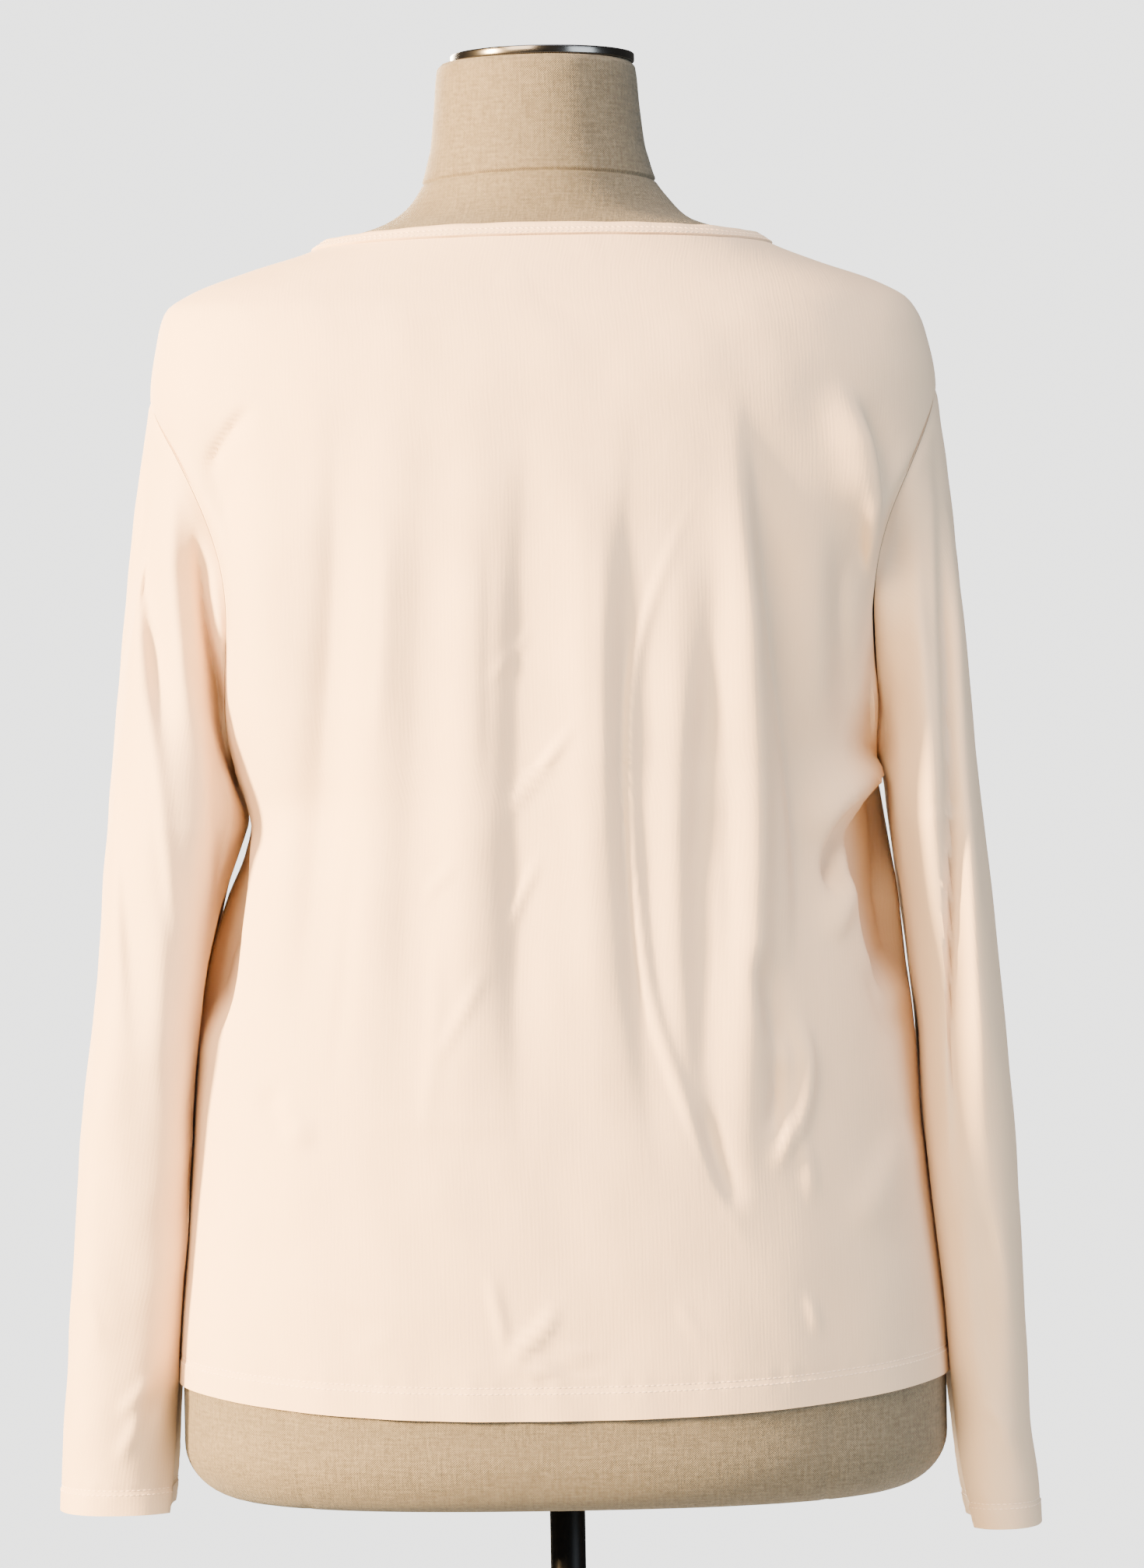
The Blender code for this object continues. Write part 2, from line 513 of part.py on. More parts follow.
def stand(chrome, black):
    """The plate on the neck, the pole under the form and the round base."""
    low = NECK_TOP + SEAM_GAP
    high = low + PLATE_THICKNESS
    lip = PLATE_THICKNESS / 4
    turned("neck_plate", ((0, high), (PLATE_RADIUS - 2 * lip, high), (PLATE_RADIUS, high - lip),
                          (PLATE_RADIUS, low + lip), (PLATE_RADIUS - lip, low), (0, low)),
           chrome, PLATE_STEPS)
    turned("stand_pole", ((0, FORM_BOTTOM - SEAM_GAP), (POLE_RADIUS, FORM_BOTTOM - SEAM_GAP),
                          (POLE_RADIUS, SOCKET_TOP + SEAM_GAP), (0, SOCKET_TOP + SEAM_GAP)),
           black, POLE_STEPS)
    edge = BASE_THICKNESS / 4
    turned("stand_base", ((0, SOCKET_TOP), (SOCKET_RADIUS - edge, SOCKET_TOP),
                          (SOCKET_RADIUS, SOCKET_TOP - edge), (SOCKET_RADIUS, BASE_THICKNESS),
                          (BASE_RADIUS - edge, BASE_THICKNESS), (BASE_RADIUS, BASE_THICKNESS - edge),
                          (BASE_RADIUS, edge / 2),
                          (BASE_RADIUS - edge / 2, 0), (0, 0)),
           black, BASE_STEPS)


def main():
    for piece in list(bpy.data.objects):
        bpy.data.objects.remove(piece)
    collection = bpy.data.collections.new(PART_NAME)
    bpy.context.scene.collection.children.link(collection)
    jersey = material("Beige viscose jersey", (0.85, 0.69, 0.56), 0.75)
    linen = material("Natural linen", (0.37, 0.27, 0.18), 0.9)
    chrome = material("Dark chrome", (0.35, 0.35, 0.36), 0.15, 1.0)
    black = material("Black satin steel", (0.015, 0.015, 0.017), 0.4)
    back = panel_grid(0, BACK_COLUMNS, BACK_FOLDS)
    front = panel_grid(pi, FRONT_COLUMNS, FRONT_FOLDS)
    cloth("back_panel", back, jersey, CLOTH, outward=True)
    cloth("front_panel", front, jersey, CLOTH, outward=True)
    loops = armhole_loops(back, front)
    left = sleeve_grid(SLEEVE_LEFT, 1, loops["left"], SLEEVE_LEFT_FOLDS, LEFT_PUFF)
    right = sleeve_grid(SLEEVE_RIGHT, -1, loops["right"], SLEEVE_RIGHT_FOLDS, RIGHT_PUFF)
    cloth("sleeve_left", left, jersey, CLOTH, outward=False, closed=True)
    cloth("sleeve_right", right, jersey, CLOTH, outward=False, closed=True)
    cloth("neck_binding", binding_grid(), jersey, BINDING, outward=True, closed=True)
    add_object("dress_form", grid_mesh("dress_form", form_grid(), closed=True, capped=True), linen)
    stand(chrome, black)


main()
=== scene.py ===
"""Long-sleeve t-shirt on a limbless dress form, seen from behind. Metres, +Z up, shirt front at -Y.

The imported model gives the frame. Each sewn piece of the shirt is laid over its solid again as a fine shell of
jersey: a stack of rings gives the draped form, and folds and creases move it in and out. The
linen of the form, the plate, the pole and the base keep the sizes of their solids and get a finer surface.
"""

from collections import namedtuple
from math import cos, pi, radians, sin

import bmesh
import bpy
import numpy as np
from mathutils import Matrix, Vector

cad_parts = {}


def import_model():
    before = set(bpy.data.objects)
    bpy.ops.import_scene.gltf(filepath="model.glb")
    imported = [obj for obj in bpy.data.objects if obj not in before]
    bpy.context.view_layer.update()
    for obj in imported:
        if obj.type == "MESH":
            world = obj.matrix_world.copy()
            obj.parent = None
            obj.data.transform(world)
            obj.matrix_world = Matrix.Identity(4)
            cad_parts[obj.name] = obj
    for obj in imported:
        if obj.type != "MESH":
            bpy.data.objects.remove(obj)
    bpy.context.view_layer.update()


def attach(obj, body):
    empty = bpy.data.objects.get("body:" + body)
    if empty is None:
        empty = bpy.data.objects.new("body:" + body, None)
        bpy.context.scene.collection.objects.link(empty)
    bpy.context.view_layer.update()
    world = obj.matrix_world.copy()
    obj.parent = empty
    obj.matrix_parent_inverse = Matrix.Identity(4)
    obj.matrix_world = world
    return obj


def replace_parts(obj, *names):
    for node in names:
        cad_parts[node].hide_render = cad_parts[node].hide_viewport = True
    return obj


# Heights of the shirt, from the floor
HEM = 0.863
UNDERARM = 1.195
ARMHOLE_TOP = 1.400
NECK_SEAM = 1.4775
NECK_EDGE = 1.482

# Cloth and the gaps between its pieces
JERSEY = 0.0012
BINDING = 0.0021
SEAM_GAP = 0.00032
BINDING_GAP = 0.0006
SLEEVE_GAP = 0.00076
SLEEVE_CLEAR = 0.0020
FORM_GAP = 0.0005

# How far the cloth rolls in at a seam, and over what width
SEAM_ROLL = 0.0009
SEAM_ROLL_REACH = 0.0026

# Turned hems: the doubled cloth stands out, its stitches draw it in, and it puckers beside them
HEM_DEPTH = 0.0150
CUFF_DEPTH = 0.0140
HEM_LIFT = 0.00045
HEM_STEP = 0.0022
STITCH_PULL = 0.00075
STITCH_PULL_REACH = 0.0017
PUCKER = 0.00022
PUCKER_REACH = 0.005
PUCKER_LENGTHS = (0.0021, 0.0137)

# Rows of stitches: how far below a hem's edge they run, and their places up the binding with their slants
TOP_ROW = 0.0004
HEM_SECOND_ROW = 0.0031
CUFF_SECOND_ROW = 0.0029
NECK_ROWS = ((0.16, 0.5), (0.46, -0.5))

# One stitch, and the step from each to the next
STITCH_LENGTH = 0.0024
STITCH_WIDTH = 0.0007
STITCH_HIGH = 0.0005
STITCH_STEP = 0.0031
STITCH_SINK = 0.00005

# The unevenness of smooth jersey: how many waves, their sizes and stretch, and each piece's height and length
WAVES = 14
WAVE_SIZES = (0.6, 1.8)
WAVE_STRETCH = 0.6
PANEL_WAVES = (0.00035, 0.045)
SLEEVE_WAVES = (0.0003, 0.040)

# Folds: where they stop, and how they fade at their ends, beside seams, and where a sleeve turns away
PATH_STEPS = 26
FOLD_LIMIT = 3
FOLD_FADE = 0.36
PANEL_CALM = 0.05
SLEEVE_CALM = 0.014
FACING_EDGE = 0.30
SLEEVE_TURN = (0.10, 0.35)

# Armholes: how far they curve into the panels, and where, how deep and how wide the sleeves' pull sinks the
# cloth beside them, which counts no cloth as steeper than the last value
ARMHOLE_SPREAD = radians(33)
ARMHOLE_SQUARENESS = 0.72
ARMHOLE_PULL = (1.195, 1.365)
ARMHOLE_PULL_FADE = (0.04, 0.06)
ARMHOLE_SINK = 0.020
ARMHOLE_SINK_REACH = 0.0045
LEAST_FACING = 0.3

# The creases across the armholes begin at this depth and are full a little further back
CREASE_START = 0.02
CREASE_FADE = 0.03
CREASE_SEAM_REACH = 0.008

# How the sleeves leave the armholes, and how their heads are smoothed round
LEFT_PUFF = 0.10
RIGHT_PUFF = 0.03
UNDERARM_PUFF = 0.7
UNDERARM_DROP = 0.8
HEAD_SPACING = 1.25
HEAD_SMOOTHING = 3.2
HEAD_SMOOTHING_ROWS = 8
HEAD_SPREAD = 9
HEAD_LEAD = 10

# Bound neck edge: its ridges as height, place, sway, length and phase of the sway, and width, then its ripple
NECK_RADIUS = 0.1
BINDING_RIDGES = ((0.0007, 0.80, 0.05, 0.021, 0, 0.10), (0.0005, 0.45, 0.06, 0.015, 2, 0.09))
BINDING_RIPPLE = 0.0003
BINDING_RIPPLE_LENGTHS = (0.0048, 0.017)

# Dress form: its bottom with the width and height of its corner, how far its seams run up under the shirt, and
# where the top edge of its neck turns in and ends
FORM_BOTTOM = 0.800
FORM_CORNER_WIDE = 0.034
FORM_CORNER_HIGH = 0.030
FORM_SEAM_RISE = 0.030
NECK_TURN = 1.577
NECK_TOP = 1.580

# Seams of the form below the hem: sideways place and how much it shifts with height, then their size
FORM_SEAMS = ((0.148, 0.20), (-0.143, -0.10))
FORM_SEAM_MIDDLE = 0.852
FORM_SEAM_DEPTH = 0.0008
FORM_SEAM_REACH = 0.0013

# The seam round the form's neck, where the upper piece of linen laps over the lower one
NECK_LINE = 1.5168
NECK_LINE_BELOW = 0.006
NECK_LINE_ABOVE = 0.004
NECK_LINE_DIP = 0.5
NECK_LAP = 0.0007
NECK_LAP_STEP = 0.0012
NECK_LAP_WIDTH = 0.010
NECK_GROOVE = 0.0008

# Plate on the neck, with the widths and depths of its turned steps from the rim in
PLATE_RADIUS = 0.0505
PLATE_HIGH = 0.0048
PLATE_STEPS = ((0.0035, -0.0004), (0.0020, 0.0004), (0.0330, 0), (0.0020, -0.0012))
PLATE_LIP = 0.0016
PLATE_EDGE = 0.0009

# Pole and base, with the widths and depths of the base's steps and of its socket's mouth
POLE_RADIUS = 0.0097
POLE_EDGE = 0.0008
BASE_RADIUS = 0.190
BASE_HIGH = 0.010
BASE_STEPS = ((0.012, 0), (0.1525, 0), (0.0045, 0.0025))
BASE_EDGE = 0.0022
SOCKET_HIGH = 0.0475
SOCKET_TOP = 0.060
SOCKET_STEPS = ((0.0110, 0), (0.0004, -0.003))

# Edges sharper than these angles stay sharp
PIECE_SHARP = radians(50)
CLOTH_SHARP = radians(60)
BEVEL_SHARP = radians(35)
METAL_SHARP = radians(40)

# Faces around and along each piece
BACK_COLUMNS = 228
FRONT_COLUMNS = 120
SEAM_COLUMNS = (0.0022, 0.0046)
HEM_ZONE = 0.020
HEM_ROWS = 16
BODY_ROWS = 90
ARMHOLE_ROWS = 72
SHOULDER_ROWS = 34
SLEEVE_HEAD_ROWS = 44
SLEEVE_ROWS = 108
CUFF_ROWS = 16
BINDING_ROWS = 12
EDGE_COLUMNS = 61
FORM_COLUMNS = 360
FORM_CORNER_ROWS = 14
FORM_SIDE_ROWS = 10
FORM_HEM_ROWS = 12
FORM_BODY_ROWS = 40
NECK_BASE_ROWS = 12
NECK_LINE_ROWS = 24
NECK_SIDE_ROWS = 24
NECK_TURN_ROWS = 5
PLATE_SIDES = 128
POLE_SIDES = 64
BASE_SIDES = 160
FLOOR_SIDES = 128
FINE_STEPS = 900

# How far apart the marks of each pattern are
WALE_STEP = 0.0020
WALE_BENDS = 0.0165
STREAK_STEP = 0.0014
FUZZ_STEP = 0.0011
HANDLING_STEP = 0.038
THREAD_STEP = 0.00125
THREAD_BENDS = 0.0083
SLUB_STEP = 0.0015
FLECK_STEP = 0.0021
TWIST_STEP = 0.00067
TURNING_STEP = 0.011
COAT_STEP = 0.0063
HAZE_STEP = 0.045
DUST_STEP = 0.17

# Colours of the cloth, the thread, the linen and the stand, and the floor and the room
JERSEY_LIGHT = "#DBC2A7"
JERSEY_DARK = "#D3B89B"
SHEEN_TINT = "#FFF1E2"
THREAD_LIGHT = "#F4DFCB"
THREAD_DARK = "#DCC0A6"
LINEN_LIGHT = "#7A705D"
LINEN_MIDDLE = "#655D4D"
LINEN_DARK = "#50483A"
PLATE_COLOUR = "#5F5D5B"
POLE_COLOUR = "#060709"
BASE_COLOUR = "#0A0B0D"
FLOOR_RADIUS = 2.1
FLOOR_LIGHT = "#969FAA"
FLOOR_DARK = "#8E98A4"
BACKDROP = "#FFFFFD"
BACKDROP_STRENGTH = 2.85
ROOM = "#FFFBF6"
ROOM_STRENGTH = 0.086

# Camera and soft lights: each light's place, width and height, power and colour
CAMERA_PLACE = (-0.0094, 3.4, 1.185)
CAMERA_ROLL = radians(1.0)
LENS = 142.3
FILM_HEIGHT = 36
LIT_PLACE = (0, 0, 1.2)
LIGHTS = (
    ("Key light", (3.4, 1.5, 2.0), (0.55, 0.7), 1762, (1, 0.666, 0.329)),
    ("High light", (1.9, 3.4, 3.2), (2.4, 2.4), 518, (1, 0.735, 0.457)),
    ("Overhead light", (0.0, 0.9, 4.2), (3.0, 2.4), 98, (0.831, 0.857, 1)),
    ("Side light", (-3.2, 2.6, 1.6), (2.4, 2.4), 182, (0.804, 0.913, 1)),
    ("Front light", (1.2, -3.4, 1.9), (1.6, 1.6), 525, (1, 0.80, 0.58)),
)

# One row for each level of the shirt: half widths, depths, how far the centre back and front drop, how square
# the ring is, and the room between cloth and form at the sides, back and front
Ring = namedtuple("Ring", "height left right back front back_drop front_drop square "
                          "slack_side slack_back slack_front")
SHIRT_RINGS = (
    Ring(HEM, 0.2095, 0.2095, 0.1400, 0.1370, 0.013, 0.010, 2.5, 0.0009, 0.0012, 0.0012),
    Ring(0.900, 0.2083, 0.2075, 0.1410, 0.1385, 0.006, 0.004, 2.5, 0.0013, 0.0020, 0.0020),
    Ring(0.950, 0.2050, 0.2035, 0.1400, 0.1390, 0.001, 0.001, 2.45, 0.0025, 0.0030, 0.0030),
    Ring(1.000, 0.2018, 0.1970, 0.1380, 0.1365, 0.000, 0.000, 2.4, 0.0035, 0.0060, 0.0040),
    Ring(1.050, 0.1975, 0.1938, 0.1350, 0.1340, 0.000, 0.000, 2.35, 0.0080, 0.0140, 0.0080),
    Ring(1.090, 0.1910, 0.1900, 0.1325, 0.1330, 0.000, 0.000, 2.3, 0.0130, 0.0230, 0.0150),
    Ring(1.125, 0.1805, 0.1865, 0.1305, 0.1340, 0.000, 0.000, 2.3, 0.0150, 0.0300, 0.0220),
    Ring(1.150, 0.1700, 0.1825, 0.1300, 0.1360, 0.000, 0.000, 2.3, 0.0120, 0.0310, 0.0240),
    Ring(1.172, 0.1655, 0.1790, 0.1300, 0.1385, 0.000, 0.000, 2.3, 0.0100, 0.0300, 0.0230),
    Ring(UNDERARM, 0.1735, 0.1760, 0.1300, 0.1415, 0.000, 0.000, 2.3, 0.0120, 0.0270, 0.0180),
    Ring(1.230, 0.1890, 0.1870, 0.1300, 0.1460, 0.000, 0.000, 2.3, 0.0160, 0.0210, 0.0100),
    Ring(1.270, 0.2010, 0.1990, 0.1300, 0.1490, 0.000, 0.000, 2.3, 0.0200, 0.0160, 0.0040),
    Ring(1.320, 0.2095, 0.2080, 0.1285, 0.1450, 0.000, 0.001, 2.3, 0.0200, 0.0110, 0.0040),
    Ring(1.365, 0.2130, 0.2115, 0.1245, 0.1350, 0.001, 0.004, 2.3, 0.0150, 0.0070, 0.0050),
    Ring(ARMHOLE_TOP, 0.2172, 0.2118, 0.1185, 0.1250, 0.003, 0.008, 2.3, 0.0090, 0.0040, 0.0040),
    Ring(1.431, 0.2130, 0.2062, 0.1095, 0.1130, 0.007, 0.014, 2.3, 0.0030, 0.0020, 0.0025),
    Ring(1.446, 0.2085, 0.1985, 0.1020, 0.1040, 0.009, 0.018, 2.3, 0.0010, 0.0010, 0.0015),
    Ring(1.456, 0.1930, 0.1810, 0.0950, 0.0970, 0.009, 0.022, 2.3, 0.0006, 0.0007, 0.0008),
    Ring(1.467, 0.1620, 0.1500, 0.0830, 0.0850, 0.005, 0.025, 2.3, 0.0005, 0.0006, 0.0006),
    Ring(NECK_SEAM, 0.1280, 0.1240, 0.0690, 0.0720, -0.002, 0.023, 2.3, 0.0005, 0.0006, 0.0006),
    Ring(NECK_EDGE, 0.1205, 0.1165, 0.0625, 0.0660, -0.004, 0.021, 2.3, 0.0005, 0.0006, 0.0006),
)

# The bare part of the form above the neckline, up to where its top edge starts to turn in
NECK_RINGS = (
    Ring(1.4935, 0.0870, 0.0800, 0.0585, 0.0620, -0.003, 0.012, 2.1, 0, 0, 0),
    Ring(1.504, 0.0735, 0.0690, 0.0570, 0.0595, -0.002, 0.006, 2.0, 0, 0, 0),
    Ring(1.517, 0.0660, 0.0600, 0.0560, 0.0580, -0.001, 0.002, 2.0, 0, 0, 0),
    Ring(1.532, 0.0625, 0.0560, 0.0550, 0.0565, 0.000, 0.000, 2.0, 0, 0, 0),
    Ring(1.556, 0.0600, 0.0530, 0.0545, 0.0550, 0.000, 0.000, 2.0, 0, 0, 0),
    Ring(NECK_TURN, 0.0580, 0.0510, 0.0535, 0.0540, 0.000, 0.000, 2.0, 0, 0, 0),
    Ring(NECK_TOP, 0.0555, 0.0485, 0.0510, 0.0515, 0.000, 0.000, 2.0, 0, 0, 0),
)

# One row for each level of a sleeve's outer face: the distances of its inner and outer walls from the middle
# of the body, its depth from back to front, where the middle of that depth lies, and how square it is.
Tube = namedtuple("Tube", "height inner outer deep middle square")
SLEEVE_LEFT = (
    Tube(1.165, 0.1700, 0.2442, 0.150, 0.002, 2.3),
    Tube(1.125, 0.1830, 0.2476, 0.146, 0.003, 2.4),
    Tube(1.085, 0.1900, 0.2504, 0.142, 0.004, 2.6),
    Tube(1.050, 0.1945, 0.2544, 0.138, 0.005, 2.8),
    Tube(1.015, 0.1975, 0.2592, 0.133, 0.005, 2.8),
    Tube(0.975, 0.1990, 0.2632, 0.126, 0.005, 2.8),
    Tube(0.930, 0.2020, 0.2662, 0.117, 0.005, 2.8),
    Tube(0.890, 0.2060, 0.2698, 0.108, 0.004, 2.6),
    Tube(0.845, 0.2100, 0.2734, 0.097, 0.003, 2.4),
    Tube(0.810, 0.2095, 0.2756, 0.086, 0.002, 2.3),
    Tube(0.793, 0.2080, 0.2762, 0.083, 0.002, 2.3),
)
SLEEVE_RIGHT = (
    Tube(1.165, 0.1835, 0.2325, 0.170, 0.002, 2.3),
    Tube(1.125, 0.1885, 0.2363, 0.168, 0.003, 2.3),
    Tube(1.085, 0.1930, 0.2398, 0.163, 0.004, 2.3),
    Tube(1.050, 0.1965, 0.2424, 0.157, 0.005, 2.5),
    Tube(1.010, 0.1975, 0.2453, 0.149, 0.005, 2.7),
    Tube(0.966, 0.1995, 0.2481, 0.140, 0.005, 2.7),
    Tube(0.923, 0.2035, 0.2498, 0.130, 0.005, 2.7),
    Tube(0.880, 0.2070, 0.2515, 0.119, 0.004, 2.6),
    Tube(0.837, 0.2105, 0.2530, 0.108, 0.003, 2.4),
    Tube(0.803, 0.2125, 0.2569, 0.099, 0.002, 2.3),
    Tube(0.778, 0.2160, 0.2581, 0.092, 0.002, 2.3),
)

# A fold or crease. height is how far the cloth stands out, or in where it is below zero. left and right are
# how far it reaches towards the wearer's left and right, and path is where it runs, sideways and in height.
Fold = namedtuple("Fold", "height left right path")


def fold(height, left, right, *path):
    """A fold whose sizes and places are given in millimetres."""
    return Fold(height / 1000, left / 1000, right / 1000, np.array(path) / 1000)


BACK_FOLDS = (
    # long soft folds that hang from the shoulder blades
    fold(-7.5, 9, 16, (166, 1395), (176, 1378), (182, 1350), (184, 1320), (182, 1282), (177, 1245),
         (172, 1205)),
    fold(5, 22, 20, (150, 1395), (153, 1320), (150, 1230), (148, 1150), (158, 1050)),
    fold(-5.6, 8, 21, (110, 1410), (113, 1340), (116, 1290), (121, 1235), (126, 1180), (130, 1130),
         (140, 1040)),
    fold(3.5, 16, 18, (90, 1400), (92, 1290), (98, 1170), (105, 1020)),
    fold(-2.8, 11, 18, (62, 1395), (68, 1280), (76, 1150), (84, 990)),
    fold(4, 14, 15, (38, 1380), (43, 1250), (47, 1110), (48, 980)),
    fold(-5.2, 9, 19, (6, 1405), (13, 1310), (19, 1227), (21, 1150), (21, 1060), (18, 955)),
    fold(4, 12, 17, (-21, 1385), (-21, 1260), (-21, 1130), (-24, 990)),
    fold(-4.2, 7, 16, (-48, 1400), (-42, 1300), (-38, 1210), (-39, 1143), (-43, 1061), (-56, 960)),
    fold(-4, 8, 11, (-92, 1330), (-86, 1260), (-77, 1184), (-74, 1122), (-77, 1039), (-86, 945)),
    fold(10, 13, 9, (-98, 1400), (-102, 1330), (-104, 1240), (-105, 1180), (-102, 1090), (-99, 1010),
         (-97, 950)),
    fold(-12.5, 7, 26, (-106, 1402), (-110, 1360), (-115, 1305), (-122, 1250), (-130, 1190), (-132, 1130),
         (-124, 1060)),
    fold(3.6, 10, 16, (-70, 1340), (-68, 1230), (-66, 1120), (-70, 1000)),
    # fine lines between the long folds
    fold(1.1, 4.5, 5.5, (86, 1340), (88, 1270), (94, 1190)),
    fold(-1, 4, 6, (32, 1330), (34, 1250), (36, 1160)),
    fold(1, 4, 6, (-28, 1345), (-26, 1240), (-26, 1130)),
    fold(-1.2, 4, 6, (-94, 1230), (-92, 1150), (-91, 1060)),
    fold(1, 4, 5.5, (62, 1120), (66, 1050), (74, 985)),
    fold(-1, 4.5, 6, (104, 1180), (112, 1090), (122, 1010)),
    # the thin crease that crosses them
    fold(3, 2.2, 4.2, (-86, 1350), (-70, 1323), (-57, 1292), (-48, 1267), (-42, 1238), (-40, 1205),
         (-42, 1131), (-50, 1064), (-60, 1031), (-84, 968), (-104, 926)),
    # the puddle where they end, at the right hip
    fold(-5.5, 5, 10, (-105, 1100), (-109, 1070), (-115, 1048), (-124, 1034)),
    fold(5, 5.5, 3.6, (-127, 1066), (-131, 1044), (-131, 1022), (-127, 1005), (-119, 990), (-108, 976)),
    fold(-5, 5, 6, (-111, 1045), (-116, 1022), (-112, 1006), (-104, 998)),
    fold(2.2, 2.6, 3, (-118, 1062), (-120, 1034), (-119, 1004), (-116, 975)),
    fold(-4, 4, 8, (-72, 1020), (-82, 985), (-94, 955)),
    fold(2, 3.4, 4, (-127, 1002), (-131, 980), (-133, 958)),
    # the right armhole and waist
    fold(9, 13, 6, (-152, 1404), (-160, 1384), (-168, 1360), (-172, 1330), (-175, 1280)),
    fold(-6, 5, 11, (-166, 1392), (-175, 1368), (-180, 1335), (-182, 1300)),
    fold(-11.5, 14, 10, (-158, 1350), (-163, 1310), (-165, 1270), (-166, 1225), (-168, 1180)),
    fold(8, 14, 4, (-184, 1202), (-174, 1186), (-161, 1177), (-151, 1166), (-145, 1146)),
    fold(-26, 4, 24, (-184, 1200), (-174, 1168), (-169, 1132), (-172, 1100), (-184, 1062)),
    fold(-13, 4, 10, (-170, 1174), (-159, 1159), (-152, 1140), (-152, 1118)),
    fold(4.5, 8, 4, (-160, 1140), (-156, 1118), (-146, 1096)),
    fold(-3.5, 6, 8, (-186, 1040), (-176, 1062), (-165, 1090)),
    fold(3.5, 8, 14, (-186, 1005), (-178, 985), (-166, 962), (-152, 940)),
    # the left waist and hip
    fold(-22, 24, 4, (184, 1205), (173, 1172), (171, 1142), (175, 1112), (180, 1078), (190, 1042)),
    fold(-2.2, 8, 10, (168, 1175), (158, 1160), (142, 1148)),
    fold(-3, 6, 8, (160, 1028), (151, 1012), (140, 999)),
    fold(3, 8, 6, (150, 1024), (140, 1006), (128, 996)),
    # short slanting creases in the middle
    fold(2.2, 2.2, 3.4, (-14, 1220), (4, 1197), (31, 1166)),
    fold(1.9, 2, 3.2, (6, 1150), (18, 1128), (28, 1106)),
    fold(1.5, 2.2, 3, (50, 1146), (60, 1136), (72, 1126)),
    fold(1.6, 2.2, 3.4, (36, 1092), (52, 1062), (68, 1036)),
    fold(0.8, 2.2, 3, (8, 1270), (24, 1252), (36, 1236)),
    # the hem
    fold(3, 2.6, 4, (0, 912), (14, 896), (34, 880)),
    fold(-2.2, 2.8, 3.4, (16, 884), (2, 880), (-22, 878)),
    fold(2.2, 2.4, 3.6, (40, 882), (20, 877), (-4, 882), (-26, 886)),
    fold(1.9, 2.2, 3.2, (-128, 914), (-132, 902), (-135, 890)),
    fold(1.8, 2.4, 3.6, (40, 930), (34, 905), (30, 884)),
    fold(0.8, 5, 5, (150, 930), (115, 915), (80, 908)),
    fold(0.7, 4, 5, (110, 1008), (60, 1006), (20, 1004)),
    fold(0.7, 2.6, 3.4, (-60, 914), (-66, 900), (-78, 888)),
    fold(0.7, 2.6, 3.4, (86, 900), (98, 892), (112, 888)),
)
FRONT_FOLDS = (
    fold(-6, 16, 18, (100, 1270), (105, 1200), (112, 1120), (125, 1030)),
    fold(-6.5, 18, 15, (-96, 1265), (-103, 1190), (-108, 1110), (-122, 1030)),
    fold(-8, 17, 21, (48, 1255), (42, 1180), (36, 1100), (34, 1010)),
    fold(-7.5, 21, 16, (-40, 1250), (-38, 1170), (-32, 1100), (-30, 1020)),
    fold(5, 17, 15, (4, 1245), (1, 1160), (2, 1040)),
    fold(4, 15, 17, (75, 1240), (74, 1160), (80, 1060)),
    fold(4.5, 16, 14, (-70, 1235), (-72, 1150), (-78, 1060)),
    fold(-7, 11, 13, (168, 1378), (158, 1320), (152, 1240)),
    fold(-7, 13, 11, (-165, 1375), (-155, 1315), (-150, 1235)),
    fold(5, 11, 11, (150, 1372), (138, 1310), (130, 1250)),
    fold(4.5, 11, 11, (-146, 1370), (-136, 1312), (-128, 1255)),
    fold(-5, 10, 12, (165, 1190), (145, 1160), (120, 1140)),
    fold(-5.5, 12, 10, (-166, 1188), (-146, 1156), (-118, 1138)),
    fold(2, 4.5, 5, (60, 1130), (40, 1080), (15, 1035)),
    fold(2, 5, 4.5, (-85, 1150), (-60, 1090), (-48, 1030)),
    fold(2, 5, 5.5, (-12, 905), (4, 892), (22, 882)),
    fold(1.4, 4.5, 5, (120, 920), (105, 902), (96, 888)),
)

# Deep creases that run beside the back's armhole seams and across them, on the panel and on the sleeve
ARMHOLE_CREASES = (
    fold(-5.5, 2.8, 6, (156, 1393), (167, 1381), (177, 1368), (185.5, 1352)),
    fold(-12.5, 2.8, 5.2, (190.5, 1334), (190.8, 1320), (189.7, 1302.5), (187.1, 1268.9), (182.5, 1235.6),
         (178.8, 1205.2), (176.5, 1185)),
    fold(-7, 2.6, 4, (188, 1290), (186.6, 1265), (182.5, 1235.6), (178.8, 1205.2), (176.5, 1188)),
    fold(-9, 8, 3, (-166, 1345), (-169, 1294), (-170.5, 1256), (-171, 1227), (-172.4, 1200)),
    fold(-8, 5, 2.8, (-170, 1280), (-170.8, 1250), (-171.2, 1220), (-172.8, 1192)),
)

